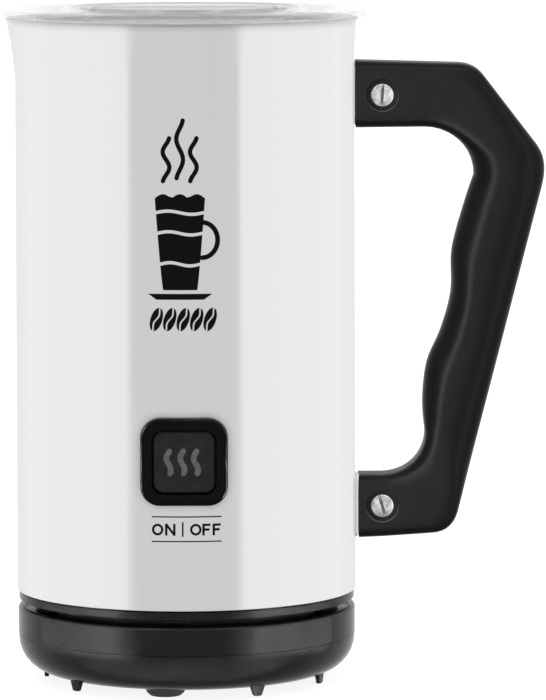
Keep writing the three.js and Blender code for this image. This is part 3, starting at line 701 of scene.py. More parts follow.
def build_jug_plug():
    cavity = TURRET_R + 0.6
    ceiling = TURRET_TOP + 0.6
    remake("plug_housing", turned([
        (cavity, 23.6, 0.4), (15.5, 23.6, 0.5), (15.5, 27.5), (18, 27.5, 0.4), (18, 29.6, 0.4), (15.5, 29.6),
        (15.5, RING_TOP, 0.5), (0, RING_TOP), (0, ceiling), (cavity, ceiling, 0.4),
    ], MID_SIDES))
    contact_low = 22
    remake("plug_contact_live", ring(8.6, 9.4, contact_low, ceiling - GAP, MID_SIDES, 0.2))
    remake("plug_contact_neutral", ring(4.5, 5.3, contact_low, ceiling - GAP, MID_SIDES, 0.2))
    remake("plug_earth_pin", rod(1.8, 20.5, ceiling - GAP, SMALL_SIDES, 0.7))


def shell_radius(z):
    """Outer radius of the steel shell at a height: a slight taper and a flared rim."""
    share = (z - SHELL_BOTTOM) / (RIM - FLARE_HEIGHT - SHELL_BOTTOM)
    taper = SHELL_R + (SHELL_R_TOP - SHELL_R) * share
    flare = max(0, (z - RIM + FLARE_HEIGHT) / FLARE_HEIGHT)
    return max(taper, SHELL_R_TOP) + RIM_FLARE * flare ** 1.5


def heights(low, high, count):
    return [low + (high - low) * k / count for k in range(count + 1)]


def steel_shell():
    levels = heights(SHELL_BOTTOM, RIM - SPOUT_DROP, 4) + heights(RIM - SPOUT_DROP, RIM, 24)[1:]
    outside = [(shell_radius(z), z) for z in levels]
    inside = [(r - SHELL_WALL, z) for r, z in outside[::-1]]
    rolled = outside[-1][0] + 0.35
    bead = RIM - 0.75
    rim = [(outside[-2][0], bead, 0.1), (rolled, bead, 0.3), (rolled, RIM, 0.35)]
    corners = [(*outside[0], 0.2), *outside[1:-1], *rim, (*inside[0], 0.35), *inside[1:]]
    tube = turned(corners, SIDES, pull_spout)
    return cut(tube, facing(rounded_square(BEZEL_SIZE - 3.2, 3), 40, 60))


def inner_pot():
    wall = SHELL_WALL
    flange = SHELL_R_TOP + RIM_FLARE - wall - GAP
    levels = heights(RIM - SPOUT_DROP, RIM - 2, 16)
    return turned([
        (0, POST_TOP - wall), (POST_R - wall, POST_TOP - wall, 0.6), (POST_R - wall, POT_FLOOR - wall),
        (POT_R + wall, POT_FLOOR - wall, 6.8), *[(POT_R + wall, z) for z in levels],
        (POT_R + wall, RIM - wall, 0.4), (flange, RIM - wall, 0.1), (flange, RIM, 0.3), (POT_R, RIM, 1.2),
        *[(POT_R, z) for z in levels[::-1]], (POT_R, POT_FLOOR, 6), (POST_R, POT_FLOOR, 1),
        (POST_R, POST_TOP, 1), (0, POST_TOP),
    ], SIDES, pull_spout)


def bottom_ring():
    """The ring inside the shell's foot, with a wider flange below it and posts for the cover."""
    low, ledge = SHELL_BOTTOM - 2.6, SHELL_BOTTOM - GAP
    flange = RING_R + 0.65
    body = turned([
        (RING_INSIDE, low, 0.3), (flange, low, 0.3), (flange, ledge, 0.2),
        (RING_R, ledge, 0.1), (RING_R, RING_TOP, 0.3), (RING_INSIDE, RING_TOP, 0.3),
    ])
    posts = rods(COVER_SCREW_PLACES, 5, 27.6, BOARD_Z - GAP)
    bores = rods(COVER_SCREW_PLACES, 1.8, 27, RING_TOP + 1)
    tab = spun(block((-3.5, 3.5), (-RING_R + 0.2, -RING_R + 1.7), (low - 0.8, low + 1), 0.2), -3)
    return cut(joined(body, tab, *posts), merged(*bores))


def bottom_cover():
    """The cover under the jug: vents round the connector, and a skirt notched clear of the screws."""
    low = SHELL_BOTTOM - 0.2
    skirt = BASE_TOP - 0.5
    edge = RING_INSIDE - GAP
    plate = turned([
        (15.9, low, 0.4), (22, low), (22.6, low + 0.5), (33.4, low + 0.5), (34, low), (41, low, 0.2),
        (41, skirt, 0.3), (42.6, skirt, 0.3), (42.6, low, 0.1),
        (edge, low, 0.2), (edge, low + 1.8, 0.2), (15.9, low + 1.8, 0.2),
    ])
    openings = []
    for place in COVER_SCREW_PLACES:
        bore = joined(rod(1.8, low - 1, low + 3), rod(3.3, skirt - 1, low - TINY_STEP))
        openings.append(moved(bore, *place))
    slit_circle = 28
    for azimuth in range(0, 360, 15):
        slit = slab(rounded_box(1.4, 7, 0.69), low - 1, low + 3)
        openings.append(spun(moved(slit, 0, -slit_circle), azimuth))
    return cut(plate, merged(*openings))


def build_jug_body():
    remake("steel_shell", steel_shell(), 40)
    remake("inner_pot", inner_pot(), 40)
    remake("bottom_ring", bottom_ring())
    remake("bottom_cover", bottom_cover())
    names, low = ("right", "rear", "left"), SHELL_BOTTOM - 1.8
    build_screws("cover_screw_", names, COVER_SCREW_AZIMUTHS, COVER_SCREW_PLACES, low, 1.3, 8, 2)


# ---- jug: drive and electronics


def build_drive():
    sensor, cutout = around(17, 270), around(16.5, 0)
    plate = ring(POST_R + 1.8, 38, HEATER_Z, HEATER_TOP, SIDES, 0.4)
    remake("heater_plate", cut(plate, moved(rod(2.8, 80, 90), *sensor)))
    circle_r, steps = 29, 72
    bend = [math.radians(-60 + 300 * k / steps) for k in range(steps + 1)]
    path = [Vector((circle_r * math.cos(a), circle_r * math.sin(a), HEATER_Z - 3.3)) for a in bend]
    remake("heater_element", wire(path, 3, [Vector((0, 0, 1))] * len(path), 24))
    probe = turned([
        (0, 79), (1.6, 79, 0.3), (1.6, 80.2), (2.5, 80.2, 0.4), (2.5, 86.7, 0.4), (0, 86.7),
    ], SMALL_SIDES)
    remake("temperature_sensor", moved(probe, *sensor))
    can = turned([
        (0, 76.5), (5.4, 76.5, 0.8), (5.4, 79.4), (6.6, 79.4, 0.3),
        (6.6, HEATER_Z - GAP, 0.3), (0, HEATER_Z - GAP),
    ], SMALL_SIDES)
    remake("thermal_cutout", moved(can, *cutout))
    remake("motor_body", motor_body())
    remake("motor_bracket", motor_bracket())
    remake("control_board", rod(41.5, BOARD_Z, BOARD_TOP, SIDES, 0.15))
    build_board_parts()


def motor_body():
    low, high, radius = MOTOR_BOTTOM, MOTOR_TOP, 13.5
    body = turned([
        (0, low), (4, low, 0.3), (4.6, low + 0.5, 0.3), (radius, low + 0.5, 1), (radius, low + 3),
        (radius - 0.3, low + 3.3), (radius - 0.3, low + 4), (radius, low + 4.3), (radius, high, 1.2),
        (3.5, high), (3.5, high + 2.3, 0.3), (0, high + 2.3),
    ], MID_SIDES)
    vents = []
    for azimuth in (60, 180, 300):
        vent = slab(rounded_box(3, 5, 1.4), high - 1, high + 1)
        vents.append(spun(moved(vent, 0, -9), azimuth))
    return cut(body, rod(SHAFT_BORE_R, high - 8, high + 4), merged(*vents))


def motor_bracket():
    """A round plate on the motor, with three arms whose posts reach the heater plate."""
    low = MOTOR_TOP + GAP
    high = low + 1.5
    arms = []
    for azimuth in (30, 150, 270):
        arm = moved(slab(rounded_box(8, 29, 3.5), low + TINY_STEP, high - TINY_STEP, 0.2), 0, -24.5)
        arm = joined(arm, moved(rod(2.6, low + 0.5, HEATER_Z - GAP, SMALL_SIDES, 0.3), 0, -36))
        arms.append(spun(arm, azimuth))
    body = joined(rod(16, low, high, MID_SIDES, 0.2), merged(*arms))
    return cut(body, rod(3.9, low - 1, high + 1, MID_SIDES))


def build_board_parts():
    low = BOARD_TOP + GAP
    remake("board_relay", block((16, 31), (-8, 11), (low, low + 15), 0.6))
    can = turned([
        (0, low), (6.2, low, 0.4), (6.2, low + 1.2), (5.9, low + 1.7), (6.2, low + 2.2), (6.5, low + 3),
        (6.5, low + 20, 0.8), (5.6, low + 20), (5.6, low + 19.8), (0, low + 19.8),
    ], SMALL_SIDES)
    long, short, depth = (-4, 4), (-0.2, 0.2), (low + 19.5, low + 21)
    cross = [block(long, short, depth), block(short, long, depth)]
    remake("board_capacitor", moved(cut(can, *cross), -24, 10))
    middle = 27
    core = block((-10, 10), (18, 36), (low, low + 18), 0.5)
    windows = [block((x0, x1), (17, 37), (low + 3.5, low + 14.5)) for x0, x1 in ((-7, -3.2), (3.2, 7))]
    coil = block((-6.6, 6.6), (middle - 8.6, middle + 8.6), (low + 4, low + 14), 2)
    remake("board_transformer", joined(cut(core, merged(*windows)), coil))


# ---- whisk and its rotor


def bars(bar, high, spare, edge=0.0):
    """Two bar magnets on opposite sides of the axis, or the pockets for them."""
    radius, thickness, width, low = bar
    half = thickness / 2 + spare
    across = width / 2 + spare
    made = []
    for turn in (0, 180):
        magnet = block((radius - half, radius + half), (-across, across), (low - spare, high), edge)
        made.append(spun(magnet, turn))
    return made


def build_rotor():
    top = POST_TOP - SHELL_WALL - 1.4
    carrier = rod(6.6, 84.2, top, SMALL_SIDES, 0.5)
    pockets = merged(*bars(DRIVE_BAR, top + 1, GAP))
    remake("magnet_carrier", cut(carrier, rod(SHAFT_BORE_R, 80, 96.5), pockets))
    remake("motor_shaft", rod(1.15, MOTOR_TOP - 7.5, 96, SMALL_SIDES, 0.2))
    for name, bar in zip("ab", bars(DRIVE_BAR, top - GAP, 0, 0.25)):
        remake("drive_magnet_" + name, bar)


def whisk_coil():
    """Spring wire wound round and round into a closed ring."""
    low, high = span("whisk_coil", 2)
    outer = span("whisk_coil", 0)[1]
    tube = (high - low) / 2
    middle = Vector((outer - tube, (low + high) / 2))
    wire_r = 0.42
    coils, steps = 64, 16
    path, ups = [], []
    for k in range(coils * steps):
        a = 2 * math.pi * k / (coils * steps)
        b = 2 * math.pi * k / steps
        out = Vector((math.cos(a), math.sin(a), 0))
        up = out * math.cos(b) + Vector((0, 0, math.sin(b)))
        path.append(out * middle.x + Vector((0, 0, middle.y)) + up * (tube - wire_r))
        ups.append(up)
    return wire(path, wire_r, ups, 8, closed=True)


def whisk_hub(low, top):
    """A sleeve, a thin web, and a rim with a channel whose lips hold the coil."""
    bore = POST_R + 1.8
    coil_top = span("whisk_coil", 2)[1]
    lip = span("whisk_hub", 0)[1]
    web = low + 1.4
    return turned([
        (bore, low, 0.2), (lip, low, 0.4), (lip, low + 1, 0.4), (20.8, low + 1, 0.3),
        (20.8, coil_top - 1, 0.3), (lip, coil_top - 1, 0.4), (lip, coil_top, 0.4), (18.6, coil_top, 0.5),
        (18.6, web, 0.6), (14.4, web, 0.8), (14.4, top, 0.9), (bore, top, 0.3),
    ])


def build_whisk():
    top = span("whisk_bush", 2)[1]
    low = POT_FLOOR + 1.2
    remake("whisk_bush", turned([
        (POST_R + GAP, low, 0.2), (POST_R + 1.5, low, 0.2), (POST_R + 1.5, top, 0.7),
        (0, top), (0, top - 1.2), (POST_R + GAP, top - 1.2, 0.3),
    ], MID_SIDES))
    hub_top = top - 1
    hole_circle = 16.5
    hole_places = [around(hole_circle, azimuth) for azimuth in range(30, 390, 60)]
    holes = rods(hole_places, 1.25, POT_FLOOR, POT_FLOOR + 4)
    pockets = bars(WHISK_BAR, hub_top + 1, GAP)
    remake("whisk_hub", cut(whisk_hub(low, hub_top), merged(*holes, *pockets)))
    for name, bar in zip("ab", bars(WHISK_BAR, hub_top - 1.5, 0, 0.2)):
        remake("whisk_magnet_" + name, bar)
    remake("whisk_coil", whisk_coil())


# ---- switch


def facing(outline, back, front, edge=0.0):
    """A plate that faces the front, centred on the switch, with its front edge rounded."""
    return moved(to_front(slab(outline, back, front, edge, 0)), 0, 0, SWITCH_Z)


def steam_wave(x, height, amplitude, turns_of_wave, phase=0.0, steps=20):
    """Centre line of one wavy steam line, from its foot up."""
    points = []
    for k in range(steps + 1):
        t = k / steps - 0.5
        bend = math.sin(2 * math.pi * turns_of_wave * t + phase)
        points.append(Vector((x - amplitude * bend, height * t)))
    return points


def build_switch():
    collar = rounded_square(BEZEL_SIZE - 3.8, 2.8)
    frame_plate = facing(rounded_square(BEZEL_SIZE, 5.3), 40, BEZEL_FRONT, 0.9)
    lip = facing(rounded_square(BEZEL_SIZE - 1.9, 4.4), BEZEL_FRONT - 0.2, BEZEL_FRONT + 1)
    lip_hole = facing(rounded_square(BEZEL_SIZE - 2.3, 4.2), BEZEL_FRONT - 1, BEZEL_FRONT + 2)
    bezel = cut(frame_plate, rod(SHELL_R + 0.15, 40, 95, SIDES), cut(lip, lip_hole))
    bezel = joined(bezel, facing(collar, 39, BEZEL_FRONT - 1.2))
    mouth = facing(rounded_square(BUTTON_SIZE + 2 * GAP, 3.2), 30, 60)
    remake("switch_bezel", cut(bezel, mouth))

    waves = [steam_wave(x, 6.0, 0.62, 0.95, 0.5) for x in (-4.2, -0.45, 3.2)]
    slots = [facing(stroke_outline(wave, 1.75), 47, 52) for wave in waves]
    button = facing(rounded_square(BUTTON_SIZE, 2.9), BUTTON_BACK, BUTTON_FRONT, 0.8)
    hollow = facing(rounded_box(11.7, 8.5, 0.6), 40, BUTTON_FRONT - 1)
    remake("switch_button", cut(button, hollow, merged(*slots)))
    rib_back, rib_front = BUTTON_FRONT - 1.3, BUTTON_FRONT - 0.05
    ribs = [facing(stroke_outline(wave, 1.65), rib_back, rib_front, 0.12) for wave in waves]
    guide = facing(rounded_box(11.4, 8.2, 0.5), BUTTON_BACK, BUTTON_FRONT - 1.1)
    remake("icon_window", joined(guide, merged(*ribs)))

    back, front = [-y for y in span("switch_board", 1)[::-1]]
    plate = facing(rounded_box(24, 28, 0.8), back, front, 0.1)
    remake("switch_board", plate)
    touch = facing(rounded_box(6, 6, 0.4), front + GAP, front + GAP + 3.5, 0.15)
    plunger = facing(circle(1.7), front + 3, front + GAP + 4.6, 0.2)
    remake("tact_switch", joined(touch, plunger))
    for name, x in (("led_left", -6), ("led_right", 6)):
        low = front + GAP
        dome = turned([(0, low), (1.5, low), (1.5, low + 3, 1.3), (0, low + 3)], SMALL_SIDES)
        remake(name, moved(to_front(dome), x, 0, SWITCH_Z))


# ---- handle

FINGER_WAVE = [(66.2, 78.2), (67.4, 89.1), (71.3, 98.4), (74.1, 109), (74.4, 121), (78, 134.4), (80.5, 141.8)]
ARM_START = 44  # inside the shell, where the arms are cut off


def spread(path, count):
    """That many points at even steps along the path, its last one included and its first left out."""
    lengths = [0.0]
    for a, b in zip(path, path[1:]):
        lengths.append(lengths[-1] + (b - a).length)
    points = []
    k = 0
    for i in range(1, count + 1):
        target = lengths[-1] * i / count
        while k < len(path) - 2 and lengths[k + 1] < target:
            k += 1
        share = (target - lengths[k]) / (lengths[k + 1] - lengths[k])
        points.append(path[k].lerp(path[k + 1], share))
    return points


def handle_edges():
    """Matching points along the finger side and the outer side, from the lower arm's root up."""
    def line(*points):
        return [Vector(p) for p in points]

    finger = [
        line((ARM_START, 57.8), (55.1, 57.8)),
        line((55.1, 57.8)) + bezier((55.1, 57.8), (61.5, 58), (66.8, 62.5), (66.9, 69.5)),
        line((66.9, 69.5)) + spline([(66.9, 69.5)] + FINGER_WAVE),
        line((80.5, 141.8)) + bezier((80.5, 141.8), (80.5, 149.5), (74, 155.1), (66.6, 155.1)),
        line((66.6, 155.1), (ARM_START, 154.9)),
    ]
    outer = [
        line((ARM_START, 39.7), (55.6, 40.2)),
        line((55.6, 40.2), (69.5, 41.1)) + bezier((69.5, 41.1), (74.8, 41.6), (76.3, 47.5))
        + line((77.6, 52.6)),
        line((77.6, 52.6), (98.7, 134.8)),
        line((98.7, 134.8), (99.6, 138.3)) + bezier((99.6, 138.3), (101.5, 145.6), (98.2, 150))
        + line((83.1, 169.6)) + bezier((83.1, 169.6), (80.7, 172.7), (76.2, 172.9)),
        line((76.2, 172.9), (ARM_START, 173.8)),
    ]
    inside, outside = [finger[0][0]], [outer[0][0]]
    for a, b, count in zip(finger, outer, (8, 20, 72, 44, 14)):
        inside += spread(a, count)
        outside += spread(b, count)
    return inside, outside


def handle_section(inner, outer, sides=64):
    """A boxy section at the arms; crowned on the grip, with its ridge towards the fingers."""
    z = (inner.y + outer.y) / 2
    grip = min(1, max(0, (z - 54) / 16)) * min(1, max(0, (162 - z) / 18))
    grip = grip * grip * (3 - 2 * grip)
    ridge = 0.5 - 0.12 * grip
    loop = []
    for a in turns(sides):
        along, thick = math.cos(a), math.sin(a)
        power = 5.5 - grip * (3.2 if along < 0 else 2.3)
        reach = math.copysign(abs(along) ** (2 / power), along)
        place = ridge + reach * (ridge if along < 0 else 1 - ridge)
        flat = inner.lerp(outer, place)
        depth = math.copysign(abs(thick) ** (2 / power), thick)
        loop.append(Vector((flat.x, -HANDLE_HALF * depth, flat.y)))
    return loop


def handle_body():
    return loft([handle_section(a, b) for a, b in zip(*handle_edges())])


def at_screw(mesh, z):
    """Lays an upright body along a handle screw's axis."""
    return moved(to_front(mesh), SCREW_X, 0, z)


def saddle(low, high, half_width, spare=0.0):
    """A curved plate on the shell, or the pocket for it in the handle's end."""
    bent = ring(SHELL_R + GAP - spare, SADDLE_R + spare, low - spare, high + spare, SIDES * 2)
    patch = rounded_box(high - low + 2 * spare, 2 * (half_width + spare), 1.2)
    return boolean(bent, "INTERSECT", moved(spun(slab(patch, 40, 60), 90, "Y"), 0, 0, (low + high) / 2))


def build_handle():
    body = cut(handle_body(), rod(SHELL_R + GAP, 100, 200, SIDES), rod(SADDLE_R + GAP, 0, 100, SIDES))
    low, high = span("handle_bracket_upper", 2)
    body = cut(body, saddle(low, high, span("handle_bracket_upper", 1)[1], GAP))
    for z in SCREW_Z:
        tongue_slot = block((40, 62.3), (-1.8, 1.8), (z - 5.8, z + 5.8))
        depth = HANDLE_HALF - 1.8
        bore = turned([
            (0, -9), (4.5, -9), (4.5, -depth, 0.3), (SCREW_EYE_R, -depth),
            (SCREW_EYE_R, depth), (4.5, depth, 0.3), (4.5, 9), (0, 9),
        ], MID_SIDES)
        body = cut(body, tongue_slot, at_screw(bore, z))
    handle = remake("handle", body, 32)
    handle.visible_glossy = False
    for place, z, tilt in zip(("upper", "lower"), SCREW_Z, SLOT_TILT):
        build_handle_fixing(place, z, tilt)


def build_handle_fixing(place, z, tilt):
    """The bracket on the shell, and the screw and sleeve nut that hold the handle to it."""
    bracket = "handle_bracket_" + place
    plate = saddle(*span(bracket, 2), span(bracket, 1)[1])
    tongue = block((SHELL_R + 0.5, 62), (-1.5, 1.5), (z - 5.5, z + 5.5), 0.4)
    eye = at_screw(rod(SCREW_EYE_R, -5, 5), z)
    fixing = [remake(bracket, cut(joined(plate, tongue), eye))]

    face = HANDLE_HALF
    head = turned([
        (0, -4), (1.5, -4), (1.5, face - 1.5), (3.1, face - 1.5, 0.1), (3.1, face - 0.75, 0.4),
        (1.6, face - 0.25, 1.5), (0, face - 0.2),
    ], MID_SIDES)
    screw = cut(head, spun(block((-0.42, 0.42), (-4, 4), (face - 1.2, face + 1)), -tilt))
    fixing.append(remake("handle_screw_" + place, at_screw(screw, z)))

    low_end = -face + 0.2
    nut = turned([
        (0, low_end), (3.6, low_end, 0.5), (3.6, -face + 1.5, 0.1), (2.6, -face + 1.5),
        (2.6, 3.5, 0.2), (1.8, 3.5), (1.8, -4.5), (0, -4.5),
    ], MID_SIDES)
    fixing.append(remake("handle_nut_" + place, at_screw(nut, z)))
    for made in fixing:
        made.visible_glossy = False


# ---- lid


def lid_body():
    """A disc with a raised ring and a turned-down edge, and a grooved skirt under it for the seal."""
    under = LID_UNDER
    skirt_low = under - 9.6
    groove, groove_low, groove_high = SKIRT_R - 1, under - 5.8, under - 2.6
    body = turned([
        (0, under - 0.8), (29, under - 0.8, 1), (31, under, 1), (SKIRT_R - 1.8, under, 0.4),
        (SKIRT_R - 1.8, skirt_low, 0.3), (SKIRT_R, skirt_low, 0.6), (SKIRT_R, groove_low, 0.15),
        (groove, groove_low, 0.1), (groove, groove_high, 0.1), (SKIRT_R, groove_high, 0.15),
        (SKIRT_R, under, 0.3), (LID_R - 1, under), (LID_R - 0.9, under - 0.4, 0.2),
        (LID_R, under - 0.4, 0.4), (LID_R, LID_TOP, 0.9), (32, LID_TOP, 0.5), (31.4, LID_TOP + 0.7, 0.3),
        (29.7, LID_TOP + 0.7, 0.4), (28, LID_TOP - 0.8, 0.8), (0, LID_TOP - 0.8),
    ])
    bar = slab(rounded_box(52, 7, 3.4), LID_TOP - 1, LID_TOP + 0.6, 0.5, 0)
    return joined(body, bar)


def lid_gasket():
    """A ring in the skirt's groove, with two lips towards the pot."""
    inner, lip = SKIRT_R - 1 + GAP, POT_R - GAP
    low, high = LID_UNDER - 5.5, LID_UNDER - 2.9
    return turned([
        (inner, low, 0.1), (inner + 0.5, low, 0.1), (lip, low + 0.25, 0.15), (lip, low + 0.75, 0.15),
        (inner + 0.7, low + 1.1, 0.1), (inner + 0.7, high - 1.1, 0.1), (lip, high - 0.75, 0.15),
        (lip, high - 0.25, 0.15), (inner + 0.5, high, 0.1), (inner, high, 0.1),
    ])


# ---- printing on the shell

INK = 0.04  # thickness of the print


def printed(grid):
    """A thin closed sheet of ink on the shell, from rows of (x, z) points seen from the front."""
    rows, columns = len(grid), len(grid[0])
    points = []
    for lift in (0.01, 0.01 + INK):
        for row in grid:
            for x, z in row:
                radius = shell_radius(z) + lift
                points.append((x, -math.sqrt(radius * radius - x * x), z))
    half = rows * columns
    faces = []
    for i in range(rows - 1):
        for j in range(columns - 1):
            corner = i * columns + j
            face = [corner, corner + 1, corner + columns + 1, corner + columns]
            faces += [face[::-1], [half + k for k in face]]
    rim = list(range(columns)) + [i * columns + columns - 1 for i in range(1, rows)]
    rim += [(rows - 1) * columns + j for j in range(columns - 2, -1, -1)]
    rim += [i * columns for i in range(rows - 2, 0, -1)]
    for a, b in zip(rim, rim[1:] + rim[:1]):
        faces.append([a, b, half + b, half + a])
    return mesh_of(points, faces)


def ink_line(path, width, round_ends=True):
    """A printed stroke along the path."""
    path = [Vector(p) for p in path]
    half = width / 2
    stations = [(p, half) for p in path]
    if round_ends:
        head = (path[0] - path[1]).normalized()
        tail = (path[-1] - path[-2]).normalized()
        steps = [(math.sin(a), math.cos(a)) for a in (math.radians(15 * k) for k in range(1, 6))]
        stations = [(path[0] + head * half * s, half * c) for s, c in steps[::-1]] + stations
        stations += [(path[-1] + tail * half * s, half * c) for s, c in steps]
    grid = []
    for i, (here, reach) in enumerate(stations):
        ahead = stations[min(i + 1, len(stations) - 1)][0]
        behind = stations[max(i - 1, 0)][0]
        along = (ahead - behind).normalized()
        side = Vector((-along.y, along.x)) * reach
        grid.append([here + side, here - side])
    return printed(grid)


def ink_patch(left, right, low, high, rows=24, columns=14):
    """A printed area between left(z) and right(z), from low(s) to high(s), s from 0 to 1 across."""
    grid = []
    for i in range(rows + 1):
        row = []
        for j in range(columns + 1):
            s = j / columns
            z = low(s) + (high(s) - low(s)) * i / rows
            row.append((left(z) + (right(z) - left(z)) * s, z))
        grid.append(row)
    return printed(grid)


def ink_straight(x0, z0, x1, z1, width):
    steps = max(2, math.ceil(abs(x1 - x0)))
    path = [(x0 + (x1 - x0) * k / steps, z0 + (z1 - z0) * k / steps) for k in range(steps + 1)]
    return ink_line(path, width, False)


def latte_glass():
    """A tall glass of layered coffee on a saucer, with steam over it."""
    foot, top = 113.6, 138.5
    middle = -0.9

    def half_width(z):
        return 4.6 + 2.2 * ((z - foot) / (top - foot)) ** 0.8

    def left(z):
        return middle - half_width(z)

    def right(z):
        return middle + half_width(z)

    def wavy(height):
        return lambda s: height + 0.45 * math.sin(2 * math.pi * s)

    marks = []
    layers = [(lambda s: foot, wavy(120.2)), (wavy(121.1), wavy(128.6)), (wavy(129.5), wavy(134.2))]
    for low, high in layers:
        marks.append(ink_patch(left, right, low, high))
    foam = ink_patch(left, right, wavy(135.1), lambda s: top + 1.2 * abs(math.sin(3 * math.pi * s)))
    saucer_top = 112.6
    saucer = ink_patch(
        lambda z: -9.6 + 1.4 * (saucer_top - z), lambda z: 7.8 - 1.4 * (saucer_top - z),
        lambda s: 111, lambda s: saucer_top, 4, 18)
    half_turn = [math.pi * k / 16 for k in range(17)]
    bow = [(middle + 6 + 4.2 * math.sin(a), 127.2 + 4.8 * math.cos(a)) for a in half_turn]
    steam = []
    for x, low, high in ((-4.6, 142.6, 155.4), (-0.9, 143.4, 160.2), (2.8, 142.6, 155.4)):
        centre = Vector((0, (low + high) / 2))
        wave = steam_wave(x, high - low - 1.2, 0.9, 1.4, steps=28)
        steam.append(ink_line([p + centre for p in wave], 1.2))
    return merged(*marks, foam, saucer, ink_line(bow, 1.3), *steam)


def coffee_bean(x, z, tilt):
    """A bean seen from its flat side: two halves with a curved cleft between them."""
    half_height, half_width, cleft = 3.3, 1.6, 0.22
    turn = Matrix.Rotation(math.radians(tilt), 2)
    halves = []
    for side in (-1, 1):
        grid = []
        for k in range(25):
            t = math.sin(math.pi / 2 * (k / 12 - 1) * 0.97)
            edge = side * half_width * math.sqrt(1 - t * t)
            inner = 0.5 * math.sin(math.pi * t) * (1 - t * t) + side * cleft
            inner = min(inner, edge - 0.01) if side > 0 else max(inner, edge + 0.01)
            row = [Vector((inner + (edge - inner) * j / 3, half_height * t)) for j in range(4)]
            grid.append([turn @ p + Vector((x, z)) for p in row])
        halves.append(printed(grid))
    return merged(*halves)


def switch_words():
    """Two plain words with a bar between them, in even strokes, and a rule above and below."""
    low, high, pen = 46.55, 49.75, 0.62
    marks = [ink_straight(-8.9, z, 10.1, z, 0.32) for z in (51.65, 44.9)]
    a, b = low + pen / 2, high - pen / 2
    for left in (-8.8, 1.6):
        centre, radius = left + 1.5, 1.25
        oval = [(centre + radius * math.sin(t), (a + b) / 2 + (b - a) / 2 * math.cos(t)) for t in turns(32)]
        marks.append(ink_line(oval + oval[:2], pen, False))
    n0, n1 = -4.95, -2.75
    marks.append(ink_straight(n0, low, n0, high, pen))
    marks.append(ink_straight(n1, low, n1, high, pen))
    marks.append(ink_line([(n0 - 0.1, high), (n1 + 0.1, low)], pen, False))
    marks.append(ink_straight(-0.45, low - 0.35, -0.45, high + 0.45, 0.42))
    for left in (5.2, 8.0):
        marks.append(ink_straight(left, low, left, high, pen))
        marks.append(ink_straight(left, b, left + 1.9, b, pen))
        marks.append(ink_straight(left, (a + b) / 2, left + 1.6, (a + b) / 2, pen))
    return merged(*marks)


def build_printing():
    first, pitch, height, tilt = -7.4, 3.65, 105.6, -18
    beans = [coffee_bean(first + pitch * k, height, tilt) for k in range(5)]
    piece("print_glass", latte_glass(), "jug", "gloss_black")
    piece("print_beans", merged(*beans), "jug", "gloss_black")
    piece("print_switch_words", switch_words(), "jug", "gloss_black")


# ---- camera, light, floor


def build_camera():
    """A long lens from the front, a little above the lid and aimed slightly down."""
    camera = added("camera", bpy.data.cameras.new("camera"))
    camera.data.lens = 271.28
    camera.data.sensor_width = 36
    camera.data.clip_end = 100
    yaw, pitch, roll = 0.0044, 0.1031, -0.0021
    forward = Vector((math.sin(yaw) * math.cos(pitch), math.cos(yaw) * math.cos(pitch), -math.sin(pitch)))
    level = Vector((math.cos(yaw), -math.sin(yaw), 0))
    up = level.cross(forward)
    right = level * math.cos(roll) + up * math.sin(roll)
    up = up * math.cos(roll) - level * math.sin(roll)
    place = Vector((AXIS_X + 17.95 * MM, -1.47048, 0.24451))
    turn = Matrix((right, up, -forward)).transposed().to_4x4()
    camera.matrix_world = Matrix.Translation(place) @ turn
    bpy.context.scene.camera = camera


def build_world():
    """An even white studio, with a wide grey panel in front that only reflections show."""
    world = bpy.data.worlds.new("studio")
    bpy.context.scene.world = world
    world.use_nodes = True
    tree = world.node_tree
    tree.nodes.clear()

    def maths(operation, *values):
        made = node(tree, "Math", operation=operation)
        for socket, value in zip(made.inputs, values):
            if isinstance(value, bpy.types.NodeSocket):
                tree.links.new(value, socket)
            else:
                socket.default_value = value
        return made.outputs[0]

    way = node(tree, "SeparateXYZ", {"Vector": node(tree, "TexCoord").outputs["Generated"]}).outputs
    azimuth = maths("ABSOLUTE", maths("ARCTAN2", way["X"], maths("MULTIPLY", way["Y"], -1.0)))
    softness = remap(tree, way["Z"], 0.17, 0.026, -0.156, -0.044)
    edge = math.radians(37.5)
    inner_edge = maths("SUBTRACT", edge, maths("MULTIPLY", softness, 0.5))
    outer_edge = maths("ADD", edge, maths("MULTIPLY", softness, 0.5))
    outside = node(tree, "MapRange", {"Value": azimuth, "From Min": inner_edge, "From Max": outer_edge},
        interpolation_type="SMOOTHSTEP").outputs["Result"]
    side_light = maths("ADD", 0.96, maths("MULTIPLY", azimuth, 0.032))
    side_light = maths("MULTIPLY", side_light, remap(tree, azimuth, 1.0, 0.84, 2.2, 2.9))
    front = 0.73
    mirrored = maths("ADD", maths("MULTIPLY", outside, maths("SUBTRACT", side_light, front)), front)
    mirrored = maths("MULTIPLY", mirrored, remap(tree, way["Z"], 0.45, 1.0, -0.95, -0.25))
    is_mirror = node(tree, "LightPath").outputs["Is Glossy Ray"]
    plain = 1.15
    strength = maths("ADD", plain, maths("MULTIPLY", is_mirror, maths("SUBTRACT", mirrored, plain)))
    glow = node(tree, "Background", {"Color": (1, 1, 1, 1), "Strength": strength}).outputs[0]
    tree.links.new(glow, node(tree, "OutputWorld").inputs[0])


